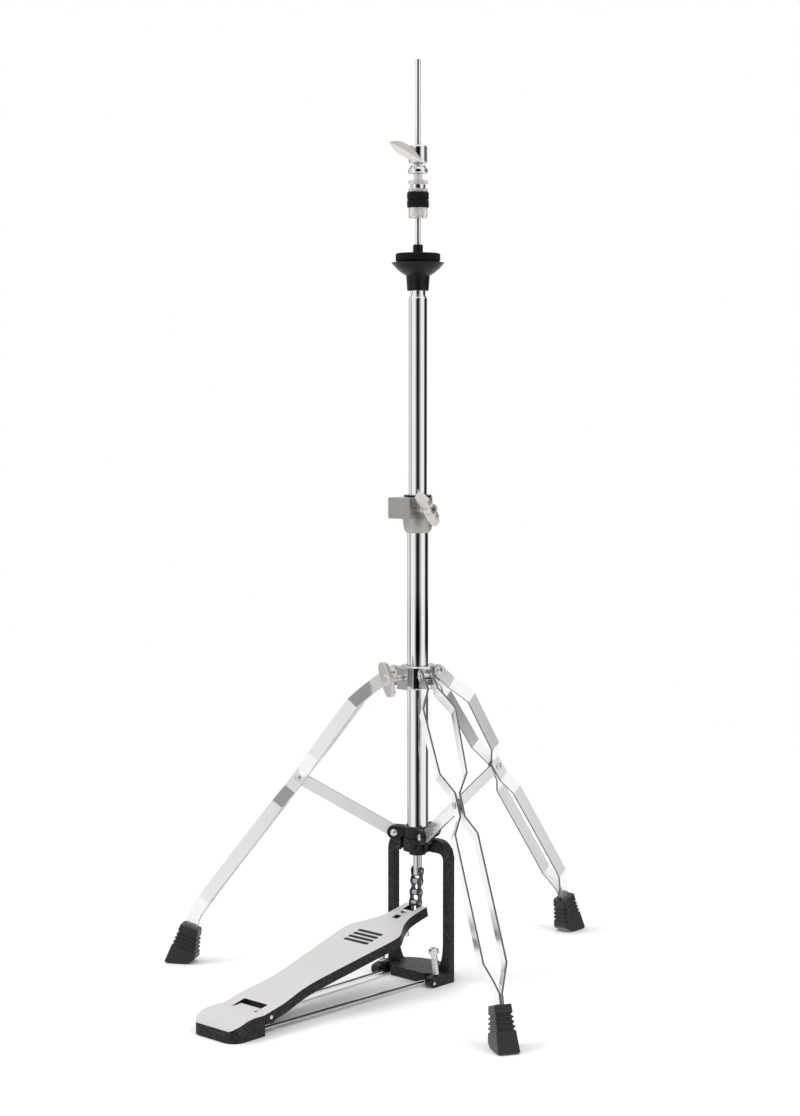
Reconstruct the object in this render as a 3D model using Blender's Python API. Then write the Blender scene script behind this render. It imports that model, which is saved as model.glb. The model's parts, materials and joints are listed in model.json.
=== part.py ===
"""Hi-hat stand: double-braced tripod, telescoping tubes, chain-driven pedal and cymbal clutch.

Frame: the origin is on the tube's axis at floor level, +Z is up, the pedal's heel points to -Y and the
rear leg to +Y. Lengths are in millimetres here and become metres when an object is made.
"""
import math

import bmesh
import bpy
from mathutils import Matrix, Vector

MM = 0.001
ROUND = 24          # sides of a large round piece
SMALL_ROUND = 14    # sides of a screw, pin or bore

# Tubes, from the floor up
TUBE_R = 12.7
TUBE_BORE_R = 11.7
TUBE_FOOT_Z = 168.3
TUBE_TOP_Z = 540.0
UPPER_R = 11.1
UPPER_BORE_R = 9.9
UPPER_FOOT_Z = 520.0
SHOULDER_Z = 791.5
NECK_R = 9.0
NECK_TOP_Z = 812.0
ROD_R = 3.175
ROD_TOP_Z = 1061.4
COUPLER_Z = (440.0, 466.0)
COUPLER_R = 4.75
ROD_SEAT_Z = 140.0              # where the rod bottoms in its end fitting

# Pedal frame, one arch with a base plate and two ears
FRAME_HALF_X = 48.0
UPRIGHT_X = 38.5
UPRIGHT_Y = (1.0, 10.5)
ARCH_Z = (150.5, 166.0)
PLATE_Z = 12.0
EAR_X = (37.0, 48.0)
EAR_FRONT_Y = -28.2
EAR_PIVOT = (-24.0, 5.2)        # y, z of the radius rod's end
FILLET = (13.0, 32.0)           # x and z reach of the gusset inside each upright
SPUR_X = 42.5
SPUR_Y_AT_FLOOR = -12.8
SPUR_LEAN = 0.165               # the tip points away from the player
SPUR_R = 4.0

# Hub casting and brace lugs
HUB_R = 16.5
HUB_Z = (166.6, 179.5)
SPIGOT_R = 10.0
SPIGOT_Z = 145.5
CHEEK_T = (1.6, 6.2)            # tangential span of one cheek of a forked lug

# Leg linkage, as (radius, height) in each leg's own radial plane
BRACE_PIVOT = Vector((27.1, 171.0))
LEG_RIVET = Vector((143.1, 230.2))
COLLAR_PIVOT = Vector((29.6, 359.5))
LEG_AZIMUTHS = {"rear": 90.0, "left": 210.0, "right": 330.0}
STRIP_WIDTH = 15.0
STRIP_THICKNESS = 2.4
PIN_R = 2.5
PIN_BORE_R = 2.9
PIN_HEAD_R = 4.3
UPPER_BEND = (Vector((55.0, 341.0)), Vector((74.0, 324.0)))
FOOT_TOP = Vector((277.9, 44.8))
FOOT_TILT = math.radians(71.0)
FOOT_AXIS = Vector((math.cos(FOOT_TILT), -math.sin(FOOT_TILT)))
FOOT_INSERT = 26.0
LOWER_BEND = (Vector((245.0, 98.0)), FOOT_TOP - 16.0 * FOOT_AXIS)
STRIP_OFFSETS = {"collar": 6.0, "shoulder": 19.0, "waist": 15.8, "rivet": 2.7, "knee": 13.0, "foot": 1.5}

# Leg collar
COLLAR_Z = (341.2, 368.1)
COLLAR_R = 20.5
COLLAR_BOLT_Z = 356.3
COLLAR_BOSS = (8.3, 27.0)       # half width and reach of the bolt block

# Height clamp
CLAMP_Z = (521.8, 539.5, 563.7)
CLAMP_CONE = ((12.6, 521.8), (14.5, 523.4), (15.8, 525.6), (17.0, 532.0), (17.4, 539.5), (17.0, 563.7))
CLAMP_BLOCK_Y = -32.4
CLAMP_BLOCK_X = 16.6
CLAMP_BOLT = (-20.5, 551.5)     # y, z of the cross bolt
CLAMP_BARREL_R = 7.5

# Clutch, from the bottom nut up
CLUTCH_STEM_R = 5.0
CLUTCH_BORE_R = 3.6
CLUTCH_WING_Z = 954.5
CLUTCH_BODY_Z = (944.0, 951.2, 964.0)
CLUTCH_STEM_Z = (882.6, 950.8)
CLUTCH_NUT_R = 11.3
CLUTCH_FELT_R = 12.65
BOTTOM_NUT_Z = (881.9, 893.5)
LOWER_FELT_Z = (893.9, 902.3)
UPPER_FELT_Z = (902.7, 911.3)
FLANGE_NUT_Z = (911.7, 924.5)
LOCK_NUT_Z = (932.3, 941.4)
NUT_BORE_R = 5.4

# Chain, 12.7 mm pitch
FITTING_Z = (120.0, 152.0)
FITTING_R = 5.2
CHAIN_TOP_Z = 126.2
CHAIN_PITCH = 12.7
CHAIN_LINKS = 4
TOE_PIN_Y = -4.5

# Pedal
HINGE = (-269.5, 18.0)          # y, z of the heel hinge
BOARD_TILT = math.radians(12.79)
BOARD_TOP_V = 6.7               # top face above the hinge, square to the board
BOARD_DEPTH = 11.5
BOARD_TOE_U = 275.8
BOARD_OUTLINE = ((-8.6, 33.0), (18.0, 33.2), (34.0, 31.3), (52.0, 28.6), (72.0, 28.2), (96.0, 30.2),
                 (133.0, 34.3), (168.0, 38.3), (190.0, 40.6), (202.0, 39.6), (213.0, 32.8), (224.0, 25.8),
                 (236.0, 20.2), (250.0, 17.0), (275.8, 16.4))
TOE_SCREW_U = 253.0
KEY_HOLE_U = 241.0
HEEL_HALF_X = 34.3
HEEL_Y = (-326.0, -280.3)
TONGUE_HALF_X = 16.0
ROD_WIRE_R = 1.9
ROD_HEEL = (26.5, -298.0, 6.5)
ROD_EAR_X = 32.0


# ---------------------------------------------------------------- modelling helpers

def finish_mesh(bm, name="solid"):
    """Weld the bmesh, point its faces outwards and return it as a mesh."""
    bmesh.ops.remove_doubles(bm, verts=bm.verts, dist=1e-4)
    bmesh.ops.recalc_face_normals(bm, faces=bm.faces)
    mesh = bpy.data.meshes.new(name)
    bm.to_mesh(mesh)
    bm.free()
    return mesh


def turned(profile, segments=ROUND):
    """Solid of revolution about +Z from a closed outline of (radius, height) points."""
    bm = bmesh.new()
    verts = [bm.verts.new((radius, 0.0, height)) for radius, height in profile]
    pairs = zip(verts, verts[1:] + verts[:1])
    edges = [bm.edges.new(pair) for pair in pairs if pair[0].co.x > 0.0 or pair[1].co.x > 0.0]
    full_turn = 2 * math.pi
    bmesh.ops.spin(bm, geom=verts + edges, cent=(0, 0, 0), axis=(0, 0, 1), angle=full_turn, steps=segments)
    return finish_mesh(bm)


def ring(outer_r, bore_r, low, high, segments=ROUND):
    """Plain tube or washer on the Z axis."""
    return turned([(bore_r, low), (outer_r, low), (outer_r, high), (bore_r, high)], segments)


def disc(radius, low, high, segments=SMALL_ROUND):
    """Plain cylinder on the Z axis."""
    return turned([(0.0, low), (radius, low), (radius, high), (0.0, high)], segments)


def prism(outline, low, high, plane="XY"):
    """Extrude a closed outline square to its plane, from low to high."""
    order = {"XY": (0, 1, 2), "XZ": (0, 2, 1), "YZ": (1, 2, 0)}[plane]
    bm = bmesh.new()
    corners = []
    for first, second in outline:
        point = [0.0, 0.0, 0.0]
        point[order[0]], point[order[1]], point[order[2]] = first, second, low
        corners.append(bm.verts.new(point))
    base = bm.faces.new(corners)
    extruded = bmesh.ops.extrude_face_region(bm, geom=[base])["geom"]
    travel = [0.0, 0.0, 0.0]
    travel[order[2]] = high - low
    moving = [item for item in extruded if isinstance(item, bmesh.types.BMVert)]
    bmesh.ops.translate(bm, vec=travel, verts=moving)
    return finish_mesh(bm)


def block(x_span, y_span, z_span):
    """Rectangular block."""
    (x0, x1), (y0, y1) = x_span, y_span
    return prism([(x0, y0), (x1, y0), (x1, y1), (x0, y1)], z_span[0], z_span[1])


def loft(rings):
    """Solid through a list of closed rings with equal point counts, capped at both ends."""
    bm = bmesh.new()
    loops = [[bm.verts.new(point) for point in points] for points in rings]
    for lower, upper in zip(loops, loops[1:]):
        for i in range(len(lower)):
            j = (i + 1) % len(lower)
            bm.faces.new((lower[i], lower[j], upper[j], upper[i]))
    bm.faces.new(loops[0])
    bm.faces.new(loops[-1])
    return finish_mesh(bm)


def round_bar(path, radius, sides):
    """Round bar along a path, keeping its section from twisting."""
    path = [Vector(point) for point in path]
    tangent = (path[1] - path[0]).normalized()
    side = tangent.orthogonal().normalized()
    rings = []
    for i, point in enumerate(path):
        new_tangent = (path[min(i + 1, len(path) - 1)] - path[max(i - 1, 0)]).normalized()
        side = tangent.rotation_difference(new_tangent) @ side
        tangent = new_tangent
        across = tangent.cross(side)
        turns = [2 * math.pi * k / sides for k in range(sides)]
        rings.append([point + radius * (math.cos(a) * side + math.sin(a) * across) for a in turns])
    return loft(rings)


def arc(centre, radius, start, end, steps):
    """Points on an arc, angles in degrees."""
    angles = [math.radians(start + (end - start) * i / steps) for i in range(steps + 1)]
    return [(centre[0] + radius * math.cos(a), centre[1] + radius * math.sin(a)) for a in angles]


def stadium(length, radius, steps=6):
    """Outline of a link plate: two half circles, the first about the origin."""
    return arc((0, 0), radius, 90, 270, steps) + arc((length, 0), radius, -90, 90, steps)


def rounded_box(half_x, half_y, radius, steps=3):
    """Outline of a rectangle with rounded corners."""
    outline = []
    for sign_x, sign_y, start in ((1, 1, 0), (-1, 1, 90), (-1, -1, 180), (1, -1, 270)):
        centre = (sign_x * (half_x - radius), sign_y * (half_y - radius))
        outline += arc(centre, radius, start, start + 90, steps)
    return outline


def smooth_curve(points, steps):
    """Catmull-Rom curve through (position, value) points."""
    curve = []
    last = len(points) - 1
    for i in range(last):
        p0, p1, p2, p3 = (Vector(points[max(0, min(last, i + k))]) for k in (-1, 0, 1, 2))
        for step in range(steps):
            t = step / steps
            curve.append(0.5 * (2 * p1 + (p2 - p0) * t + (2 * p0 - 5 * p1 + 4 * p2 - p3) * t ** 2
                                + (3 * p1 - p0 - 3 * p2 + p3) * t ** 3))
    return curve + [Vector(points[-1])]


def moved(mesh, matrix):
    """Transform a mesh in place and return it."""
    mesh.transform(matrix)
    return mesh


def shifted(mesh, x=0.0, y=0.0, z=0.0):
    return moved(mesh, Matrix.Translation((x, y, z)))


def turned_to(mesh, direction):
    """Swing a mesh built on +Z so that its axis points along direction."""
    return moved(mesh, Vector((0, 0, 1)).rotation_difference(Vector(direction)).to_matrix().to_4x4())


def combine(base, others, operation):
    """Boolean a mesh with each of the others in turn: UNION, DIFFERENCE or INTERSECT."""
    layer = bpy.context.scene.collection.objects
    work = bpy.data.objects.new("work", base)
    layer.link(work)
    cutters = []
    for other in others:
        cutter = bpy.data.objects.new("cutter", other)
        cutter.hide_render = True
        cutter.display_type = "WIRE"
        layer.link(cutter)
        cutters.append(cutter)
        modifier = work.modifiers.new("combine", "BOOLEAN")
        modifier.operation = operation
        modifier.solver = "EXACT"
        modifier.object = cutter
    bpy.context.view_layer.update()
    evaluated = work.evaluated_get(bpy.context.evaluated_depsgraph_get())
    result = bpy.data.meshes.new_from_object(evaluated)
    for item in cutters + [work]:
        bpy.data.objects.remove(item)
    return result


def joined(base, *others):
    return combine(base, others, "UNION")


def cut(base, *others):
    return combine(base, others, "DIFFERENCE")


# ---------------------------------------------------------------- materials and placing

def make_material(name, colour, roughness, metallic):
    material = bpy.data.materials.new(name)
    material.use_nodes = True
    shader = material.node_tree.nodes["Principled BSDF"]
    shader.inputs["Base Color"].default_value = (*colour, 1.0)
    shader.inputs["Roughness"].default_value = roughness
    shader.inputs["Metallic"].default_value = metallic
    return material


def make_materials():
    return {
        "chrome": make_material("chrome", (0.80, 0.81, 0.83), 0.06, 1.0),
        "nickel": make_material("satin_nickel", (0.62, 0.60, 0.57), 0.32, 1.0),
        "zinc": make_material("zinc", (0.70, 0.71, 0.72), 0.25, 1.0),
        "black_cast": make_material("black_cast", (0.018, 0.018, 0.019), 0.55, 0.0),
        "silver_board": make_material("silver_board", (0.72, 0.71, 0.71), 0.38, 0.8),
        "plastic": make_material("black_plastic", (0.020, 0.020, 0.022), 0.30, 0.0),
        "clear_plastic": make_material("clear_plastic", (0.78, 0.74, 0.73), 0.25, 0.0),
        "felt": make_material("black_felt", (0.008, 0.008, 0.008), 0.95, 0.0),
        "rubber": make_material("black_rubber", (0.022, 0.021, 0.021), 0.60, 0.0),
        "nylon": make_material("nylon", (0.80, 0.79, 0.75), 0.45, 0.0),
        "chain_steel": make_material("chain_steel", (0.10, 0.10, 0.11), 0.35, 1.0),
        "spring_steel": make_material("spring_steel", (0.45, 0.45, 0.46), 0.30, 1.0),
    }


def pivot(name, location, parent=None, turn_z=0.0):
    """Empty on a joint's axis, or a plain frame of reference."""
    empty = bpy.data.objects.new(name, None)
    empty.empty_display_size = 0.02
    empty.location = Vector(location) * MM
    empty.rotation_euler.z = math.radians(turn_z)
    empty.parent = parent
    bpy.context.scene.collection.objects.link(empty)
    return empty


def place(name, mesh, material, parent, origin=(0, 0, 0)):
    """Make the named piece from a mesh in its parent frame's millimetres, with its own origin moved."""
    mesh.name = name
    mesh.transform(Matrix.Translation(-Vector(origin)))
    mesh.transform(Matrix.Scale(MM, 4))
    return place_copy(name, mesh, material, parent)


def place_copy(name, mesh, material, parent):
    """Make a piece that shares a finished mesh."""
    if not mesh.materials:
        mesh.materials.append(material)
    mesh.shade_smooth()
    mesh.set_sharp_from_angle(angle=math.radians(32))
    piece = bpy.data.objects.new(name, mesh)
    piece.parent = parent
    bpy.context.scene.collection.objects.link(piece)
    return piece


# ---------------------------------------------------------------- stand base

def frame_mesh():
    """Arch, uprights, base plate and ears as one casting."""
    half, inner = FRAME_HALF_X, UPRIGHT_X
    low, high = ARCH_Z
    outer_r, inner_r = 20.0, 7.0
    reach_x, reach_z = FILLET
    fillet = []
    for step in range(7):
        angle = math.radians(15 * step)
        x = inner - reach_x * (1 - math.cos(angle))
        fillet.append((x, PLATE_Z + reach_z * (1 - math.sin(angle))))
    outline = [(20.0, 0.0), (half, 0.0)]
    outline += arc((half - outer_r, high - outer_r), outer_r, 0, 90, 6)
    outline += arc((outer_r - half, high - outer_r), outer_r, 90, 180, 6)
    outline += [(-half, 0.0), (-20.0, 0.0), (-20.0, PLATE_Z)]
    outline += [(-x, z) for x, z in reversed(fillet)]
    outline += arc((inner_r - inner, low - inner_r), inner_r, 180, 90, 3)
    outline += arc((inner - inner_r, low - inner_r), inner_r, 90, 0, 3)
    outline += fillet + [(20.0, PLATE_Z)]
    arch = prism(outline, UPRIGHT_Y[0], UPRIGHT_Y[1], "XZ")

    back_r, back_y, front_y = 60.0, 34.0, -18.0
    sweep = math.degrees(math.asin((half - 0.2) / back_r))
    plate_outline = arc((0.0, back_y - back_r), back_r, 90 - sweep, 90 + sweep, 10)
    plate_outline += [(0.2 - half, 2.0), (-38.0, -8.0), (-26.0, front_y), (26.0, front_y), (38.0, -8.0),
                      (half - 0.2, 2.0)]
    plate = prism(plate_outline, 0.0, PLATE_Z)

    ear_y, ear_z = EAR_PIVOT
    front, back = EAR_FRONT_Y, UPRIGHT_Y[1] - 0.1
    ear_outline = [(back, 0.05)] + arc((front + 4.0, 4.05), 4.0, 270, 180, 3)
    ear_outline += [(front, 8.6), (front + 2.2, 10.6), (front + 12.0, 13.0), (back, 13.0)]
    ear_x = (EAR_X[0], EAR_X[1] + 0.15)
    ears = [prism(ear_outline, *sorted((side * ear_x[0], side * ear_x[1])), "YZ") for side in (1, -1)]
    eye = disc(17.0, low + 0.05, high - 0.05, ROUND)
    solid = joined(arch, plate, *ears, eye)

    cutters = [disc(SPIGOT_R + 0.4, low - 5, high + 5, ROUND)]
    for side in (1, -1):
        cutters.append(spur_frame(disc(SPUR_R + 0.35, -6, 30), side))
        hole = turned_to(disc(ROD_WIRE_R + 0.4, -9, 9), (1, 0, 0))
        cutters.append(shifted(hole, side * SPUR_X, ear_y, ear_z))
    return cut(solid, *cutters)


def spur_frame(mesh, side):
    """Move a mesh built on +Z onto a spur's leaning axis."""
    turned_to(mesh, (0, -SPUR_LEAN, 1))
    return shifted(mesh, side * SPUR_X, SPUR_Y_AT_FLOOR, 0.0)


def spur_mesh(side):
    """Threaded spur with a pan head and a hexagon socket."""
    profile = [(0.0, 1.2), (1.2, 1.6), (SPUR_R, 4.5), (SPUR_R, 35.5), (3.4, 36.5), (3.6, 38.0), (5.9, 39.5),
               (5.9, 44.4), (4.8, 45.8), (2.4, 45.8), (2.4, 42.6), (0.0, 42.6)]
    return spur_frame(turned(profile, SMALL_ROUND), side)


def leg_frame(mesh, azimuth):
    """Turn a mesh from the leg frame (radius on +X) to a leg's place."""
    return moved(mesh, Matrix.Rotation(math.radians(azimuth), 4, "Z"))


def casting_mesh():
    """Hub on the tube's foot with three forked brace lugs and a spigot through the arch."""
    floor_z = 168.0
    hub = turned([(0.0, SPIGOT_Z), (SPIGOT_R, SPIGOT_Z), (SPIGOT_R, HUB_Z[0]), (HUB_R, HUB_Z[0]),
                  (HUB_R, HUB_Z[1] - 1.5), (HUB_R - 1.2, HUB_Z[1]), (0.0, HUB_Z[1])])
    lug = [(12.0, HUB_Z[1] - 1.0), (22.0, HUB_Z[1] - 0.2)]
    lug += arc(BRACE_PIVOT, 8.5, 80, -90, 7)
    lug += [(20.5, 161.5), (20.5, 151.0), (18.3, 151.0), (18.3, HUB_Z[0] + 0.4), (12.0, HUB_Z[0] + 0.4)]
    cheeks = []
    for azimuth in LEG_AZIMUTHS.values():
        for low, high in (CHEEK_T, (-CHEEK_T[1], -CHEEK_T[0])):
            cheeks.append(leg_frame(prism(lug, low, high, "XZ"), azimuth))
    solid = joined(hub, *cheeks)
    socket = disc(TUBE_R + 0.4, floor_z, HUB_Z[1] + 5, ROUND)
    rod_way = disc(6.2, SPIGOT_Z - 5, floor_z + 1, ROUND)
    cutters = [socket, rod_way]
    for azimuth in LEG_AZIMUTHS.values():
        hole = shifted(turned_to(disc(PIN_BORE_R, -12, 12), (0, 1, 0)), BRACE_PIVOT.x, 0, BRACE_PIVOT.y)
        cutters.append(leg_frame(hole, azimuth))
    return cut(solid, *cutters)


def cross_pin(reach, shank_r, head_r, head_height):
    """Headed pin across a joint: built on +Z, then laid along Y."""
    rim = reach + head_height
    profile = [(0.0, -rim), (head_r * 0.55, -rim + 0.3), (head_r, -reach - 0.5), (head_r, -reach),
               (shank_r, -reach), (shank_r, reach), (head_r, reach), (head_r, reach + 0.5),
               (head_r * 0.55, rim - 0.3), (0.0, rim)]
    return turned_to(turned(profile, 12), (0, 1, 0))


def coil_mesh():
    """Return spring round the lower rod."""
    wire_r, coil_r, turns, per_turn = 0.9, 7.0, 8, 10
    low, high = 181.3, 299.2
    path = []
    for i in range(turns * per_turn + 1):
        angle = 2 * math.pi * i / per_turn
        height = low + (high - low) * i / (turns * per_turn)
        path.append((coil_r * math.cos(angle), coil_r * math.sin(angle), height))
    return round_bar(path, wire_r, 5)


def build_base(materials, root):
    place("pedal_frame", frame_mesh(), materials["black_cast"], root)
    place("base_casting", casting_mesh(), materials["black_cast"], root)
    place("lower_tube", ring(TUBE_R, TUBE_BORE_R, TUBE_FOOT_Z, TUBE_TOP_Z), materials["chrome"], root)
    place("rod_guide", ring(TUBE_BORE_R - 0.4, ROD_R + 0.5, 168.6, 180.0), materials["nylon"], root)
    place("return_spring", coil_mesh(), materials["spring_steel"], root)
    for side, name in ((1, "right"), (-1, "left")):
        empty = pivot(f"spur_{name}_axis", (side * SPUR_X, SPUR_Y_AT_FLOOR, 0.0), root)
        at_floor = (side * SPUR_X, SPUR_Y_AT_FLOOR, 0.0)
        place(f"spur_{name}", spur_mesh(side), materials["zinc"], empty, at_floor)


# ---------------------------------------------------------------- legs

def strip_path():
    """Stations along a leg strip: centre point, half width and sideways offset.

    The strip leaves the collar narrow, opens, is pinched at the mid rivet round the brace, opens again and
    is pinched once more where it enters the foot."""
    end = FOOT_TOP + FOOT_AXIS * FOOT_INSERT
    corners = [COLLAR_PIVOT, *UPPER_BEND, LEG_RIVET, *LOWER_BEND, FOOT_TOP, end]
    lengths = [0.0]
    for a, b in zip(corners, corners[1:]):
        lengths.append(lengths[-1] + (b - a).length)
    rivet, foot = lengths[3], lengths[6]
    offsets = STRIP_OFFSETS
    flare = [(-STRIP_WIDTH / 2, offsets["collar"]), (lengths[1] - 3, offsets["collar"]),
             (lengths[2], offsets["shoulder"]), (rivet - 36, offsets["waist"]),
             (rivet - 12, offsets["rivet"]), (rivet + 17, offsets["rivet"]),
             (rivet + 38, offsets["knee"]), (foot - 42, offsets["knee"]),
             (foot - 11, offsets["foot"]), (foot + FOOT_INSERT, offsets["foot"])]
    bends = [lengths[1] + 8, lengths[1] + 17, lengths[4] - 9, lengths[4] + 9, foot - 31, foot - 20]
    half = STRIP_WIDTH / 2
    round_end = [-half * math.cos(math.radians(a)) for a in (12, 35, 60)] + [0.0]
    stations = sorted(set(round_end + [s for s, _ in flare[1:]] + bends))
    return corners, lengths, flare, stations


def along(corners, lengths, s):
    """Point and direction at distance s along a polyline, extended straight past its first corner."""
    i = max(k for k in range(len(corners) - 1) if k == 0 or lengths[k] <= s)
    direction = (corners[i + 1] - corners[i]).normalized()
    return corners[i] + direction * (s - lengths[i]), direction


def smooth_point(corners, lengths, s):
    """Centre point eased over the two bends, and its local direction."""
    reach = 9.0
    near = max(s - reach, min(s, 0.0))
    far = min(s + reach, lengths[-1])
    before, after = along(corners, lengths, near)[0], along(corners, lengths, far)[0]
    here = along(corners, lengths, s)[0]
    point = here if near <= 0.0 or far >= lengths[-1] else (before + after + 2 * here) / 4
    return point, (after - before).normalized()


def offset_at(flare, s):
    """Sideways offset at distance s and its slope."""
    for (s0, t0), (s1, t1) in zip(flare, flare[1:]):
        if s <= s1:
            return t0 + (t1 - t0) * (s - s0) / (s1 - s0), (t1 - t0) / (s1 - s0)
    return flare[-1][1], 0.0


def strip_mesh():
    """One bent flat bar of a leg, on the +Y side of the leg's plane."""
    corners, lengths, flare, stations = strip_path()
    half = STRIP_WIDTH / 2
    rings = []
    for s in stations:
        centre, direction = smooth_point(corners, lengths, s)
        normal = Vector((-direction.y, direction.x))
        width = math.sqrt(half ** 2 - min(0.0, s) ** 2)
        before = offset_at(flare, s - 0.5)[1]
        offset, after = offset_at(flare, s)[0], offset_at(flare, s + 0.5)[1]
        lean = (math.atan(before) + math.atan(after)) / 2
        thick = STRIP_THICKNESS / 2 / max(0.8, math.cos((math.atan(after) - math.atan(before)) / 2))
        points = []
        for across, through in ((-1, -1), (1, -1), (1, 1), (-1, 1)):
            slide = -through * thick * math.sin(lean)
            flat = centre + normal * width * across + direction * slide
            points.append((flat.x, offset + through * thick * math.cos(lean), flat.y))
        rings.append(points)
    bar = loft(rings)
    holes = []
    for point, offset in ((COLLAR_PIVOT, STRIP_OFFSETS["collar"]), (LEG_RIVET, STRIP_OFFSETS["rivet"])):
        hole = turned_to(disc(PIN_BORE_R, -3, 3), (0, 1, 0))
        holes.append(shifted(hole, point.x, offset, point.y))
    return cut(bar, *holes)


def foot_mesh():
    """Ribbed rubber boot: a cap, four grooves, a skirt, and a sole shaped to roll to the floor."""
    across = Vector((math.sin(FOOT_TILT), math.cos(FOOT_TILT)))
    height, groove_depth, cap = 56.0, 1.6, 9.2
    levels = [(0.0, 0.0), (cap, 0.0)]
    for i in range(4):
        start = cap + 0.6 + i * 5.0
        levels += [(start, groove_depth), (start + 2.0, groove_depth)]
        levels += [(start + 2.6, 0.0), (start + 4.4, 0.0)]
    levels += [(height, 0.0)]
    rings = []
    for depth, inset in levels:
        outer, inner = 11.6 + 0.08 * depth - inset, 11.6 + 0.215 * depth - inset
        half_radial = (outer + inner) / 2
        half_side = 9.6 + 0.055 * depth - inset
        centre = FOOT_TOP + FOOT_AXIS * depth + across * (outer - inner) / 2
        ring_points = []
        for radial, side in rounded_box(half_radial, half_side, 2.0, 1):
            spot = centre + across * radial
            ring_points.append((spot.x, side, spot.y))
        rings.append(ring_points)
    boot = loft(rings)
    sole = [(240.0, 70.0), (262.0, 17.0), (268.0, 9.0), (275.0, 3.0), (282.0, 0.0), (300.0, 0.0),
            (308.5, 1.8), (330.0, 8.0), (330.0, 80.0)]
    boot = combine(boot, [prism(sole, -30, 30, "XZ")], "INTERSECT")
    end = FOOT_TOP + FOOT_AXIS * (FOOT_INSERT + 0.6)
    pocket_side = STRIP_OFFSETS["foot"] + STRIP_THICKNESS / 2 + 0.4
    half = STRIP_WIDTH / 2 + 0.4
    mouth = FOOT_TOP - FOOT_AXIS * 6
    corners = [mouth - across * half, mouth + across * half, end + across * half, end - across * half]
    pocket = prism([(p.x, p.y) for p in corners], -pocket_side, pocket_side, "XZ")
    return cut(boot, pocket)


def brace_mesh():
    """Flat link from the hub lug to the leg's mid rivet."""
    reach = LEG_RIVET - BRACE_PIVOT
    half = STRIP_THICKNESS / 2
    bar = prism(stadium(reach.length, STRIP_WIDTH / 2), -half, half, "XZ")
    holes = [shifted(turned_to(disc(PIN_BORE_R, -3, 3), (0, 1, 0)), x) for x in (0.0, reach.length)]
    bar = cut(bar, *holes)
    tilt = Matrix.Rotation(-math.atan2(reach.y, reach.x), 4, "Y")
    return shifted(moved(bar, tilt), BRACE_PIVOT.x, 0, BRACE_PIVOT.y)


def build_legs(materials, root):
    """Three legs that share their meshes, each in its own turned frame."""
    strip = strip_mesh()
    mirrored = strip.copy()
    mirrored.transform(Matrix.Scale(-1, 4, (0, 1, 0)))
    mirrored.flip_normals()
    outer = STRIP_THICKNESS / 2 + 0.3
    brace_at = (BRACE_PIVOT.x, 0, BRACE_PIVOT.y)
    rivet_at = (LEG_RIVET.x, 0, LEG_RIVET.y)
    mid_rivet = cross_pin(STRIP_OFFSETS["rivet"] + outer, PIN_R, PIN_HEAD_R, 2.2)
    collar_pin = cross_pin(STRIP_OFFSETS["collar"] + outer, PIN_R, PIN_HEAD_R, 2.4)
    brace_pin = cross_pin(CHEEK_T[1] + 0.3, PIN_R, PIN_HEAD_R, 2.2)
    shapes = {
        "leg_strip_{}_a": (strip, rivet_at, "chrome"),
        "leg_strip_{}_b": (mirrored, rivet_at, "chrome"),
        "foot_{}": (foot_mesh(), rivet_at, "rubber"),
        "mid_rivet_{}": (shifted(mid_rivet, *rivet_at), rivet_at, "zinc"),
        "collar_pin_{}": (shifted(collar_pin, COLLAR_PIVOT.x, 0, COLLAR_PIVOT.y), rivet_at, "zinc"),
        "brace_{}": (brace_mesh(), brace_at, "chrome"),
        "brace_pin_{}": (shifted(brace_pin, *brace_at), brace_at, "zinc"),
    }
    for shape, origin, _ in shapes.values():
        shape.transform(Matrix.Translation(-Vector(origin)))
        shape.transform(Matrix.Scale(MM, 4))
    for name, azimuth in LEG_AZIMUTHS.items():
        station = pivot(f"leg_station_{name}", (0, 0, 0), root, azimuth)
        pivots = {rivet_at: pivot(f"leg_pivot_{name}", rivet_at, station),
                  brace_at: pivot(f"brace_pivot_{name}", brace_at, station)}
        for pattern, (shape, origin, slot) in shapes.items():
            place_copy(pattern.format(name), shape, materials[slot], pivots[origin])


def collar_mesh():
    """Sliding collar with three open-topped pivot lugs and a bolt boss."""
    low, high = COLLAR_Z
    bore, edge = TUBE_R + 0.4, 1.5
    band = turned([(bore, low), (COLLAR_R - edge, low), (COLLAR_R, low + edge), (COLLAR_R, high - edge),
                   (COLLAR_R - edge, high), (bore, high)])
    seat_z, seat_r = COLLAR_PIVOT.y - PIN_R - 0.8, COLLAR_PIVOT.x - PIN_R - 0.8
    lug = [(17.0, low + 3), (32.0, low + 3), (36.5, low + 8), (36.5, seat_z), (seat_r, seat_z),
           (seat_r, high - 2), (17.0, high - 2)]
    half = STRIP_OFFSETS["collar"] - STRIP_THICKNESS / 2 - 0.4
    lugs = [leg_frame(prism(lug, -half, half, "XZ"), azimuth) for azimuth in LEG_AZIMUTHS.values()]
    half_x, reach = COLLAR_BOSS
    boss = block((-half_x, half_x), (-reach, -16.5), (low + 0.8, high - 0.8))
    hole = shifted(turned_to(disc(3.4, 10.0, 32.0), (0, -1, 0)), z=COLLAR_BOLT_Z)
    return cut(joined(band, *lugs, boss), hole)


def wing_outline(span, root, tip):
    """Outline of a two-lobed wing: widest at the middle, rounded at the tips."""
    half = span / 2
    right = arc((half - tip, 0), tip, -75, 75, 4)
    left = arc((tip - half, 0), tip, 105, 255, 4)
    return right + [(0.0, root)] + left + [(0.0, -root)]


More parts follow.
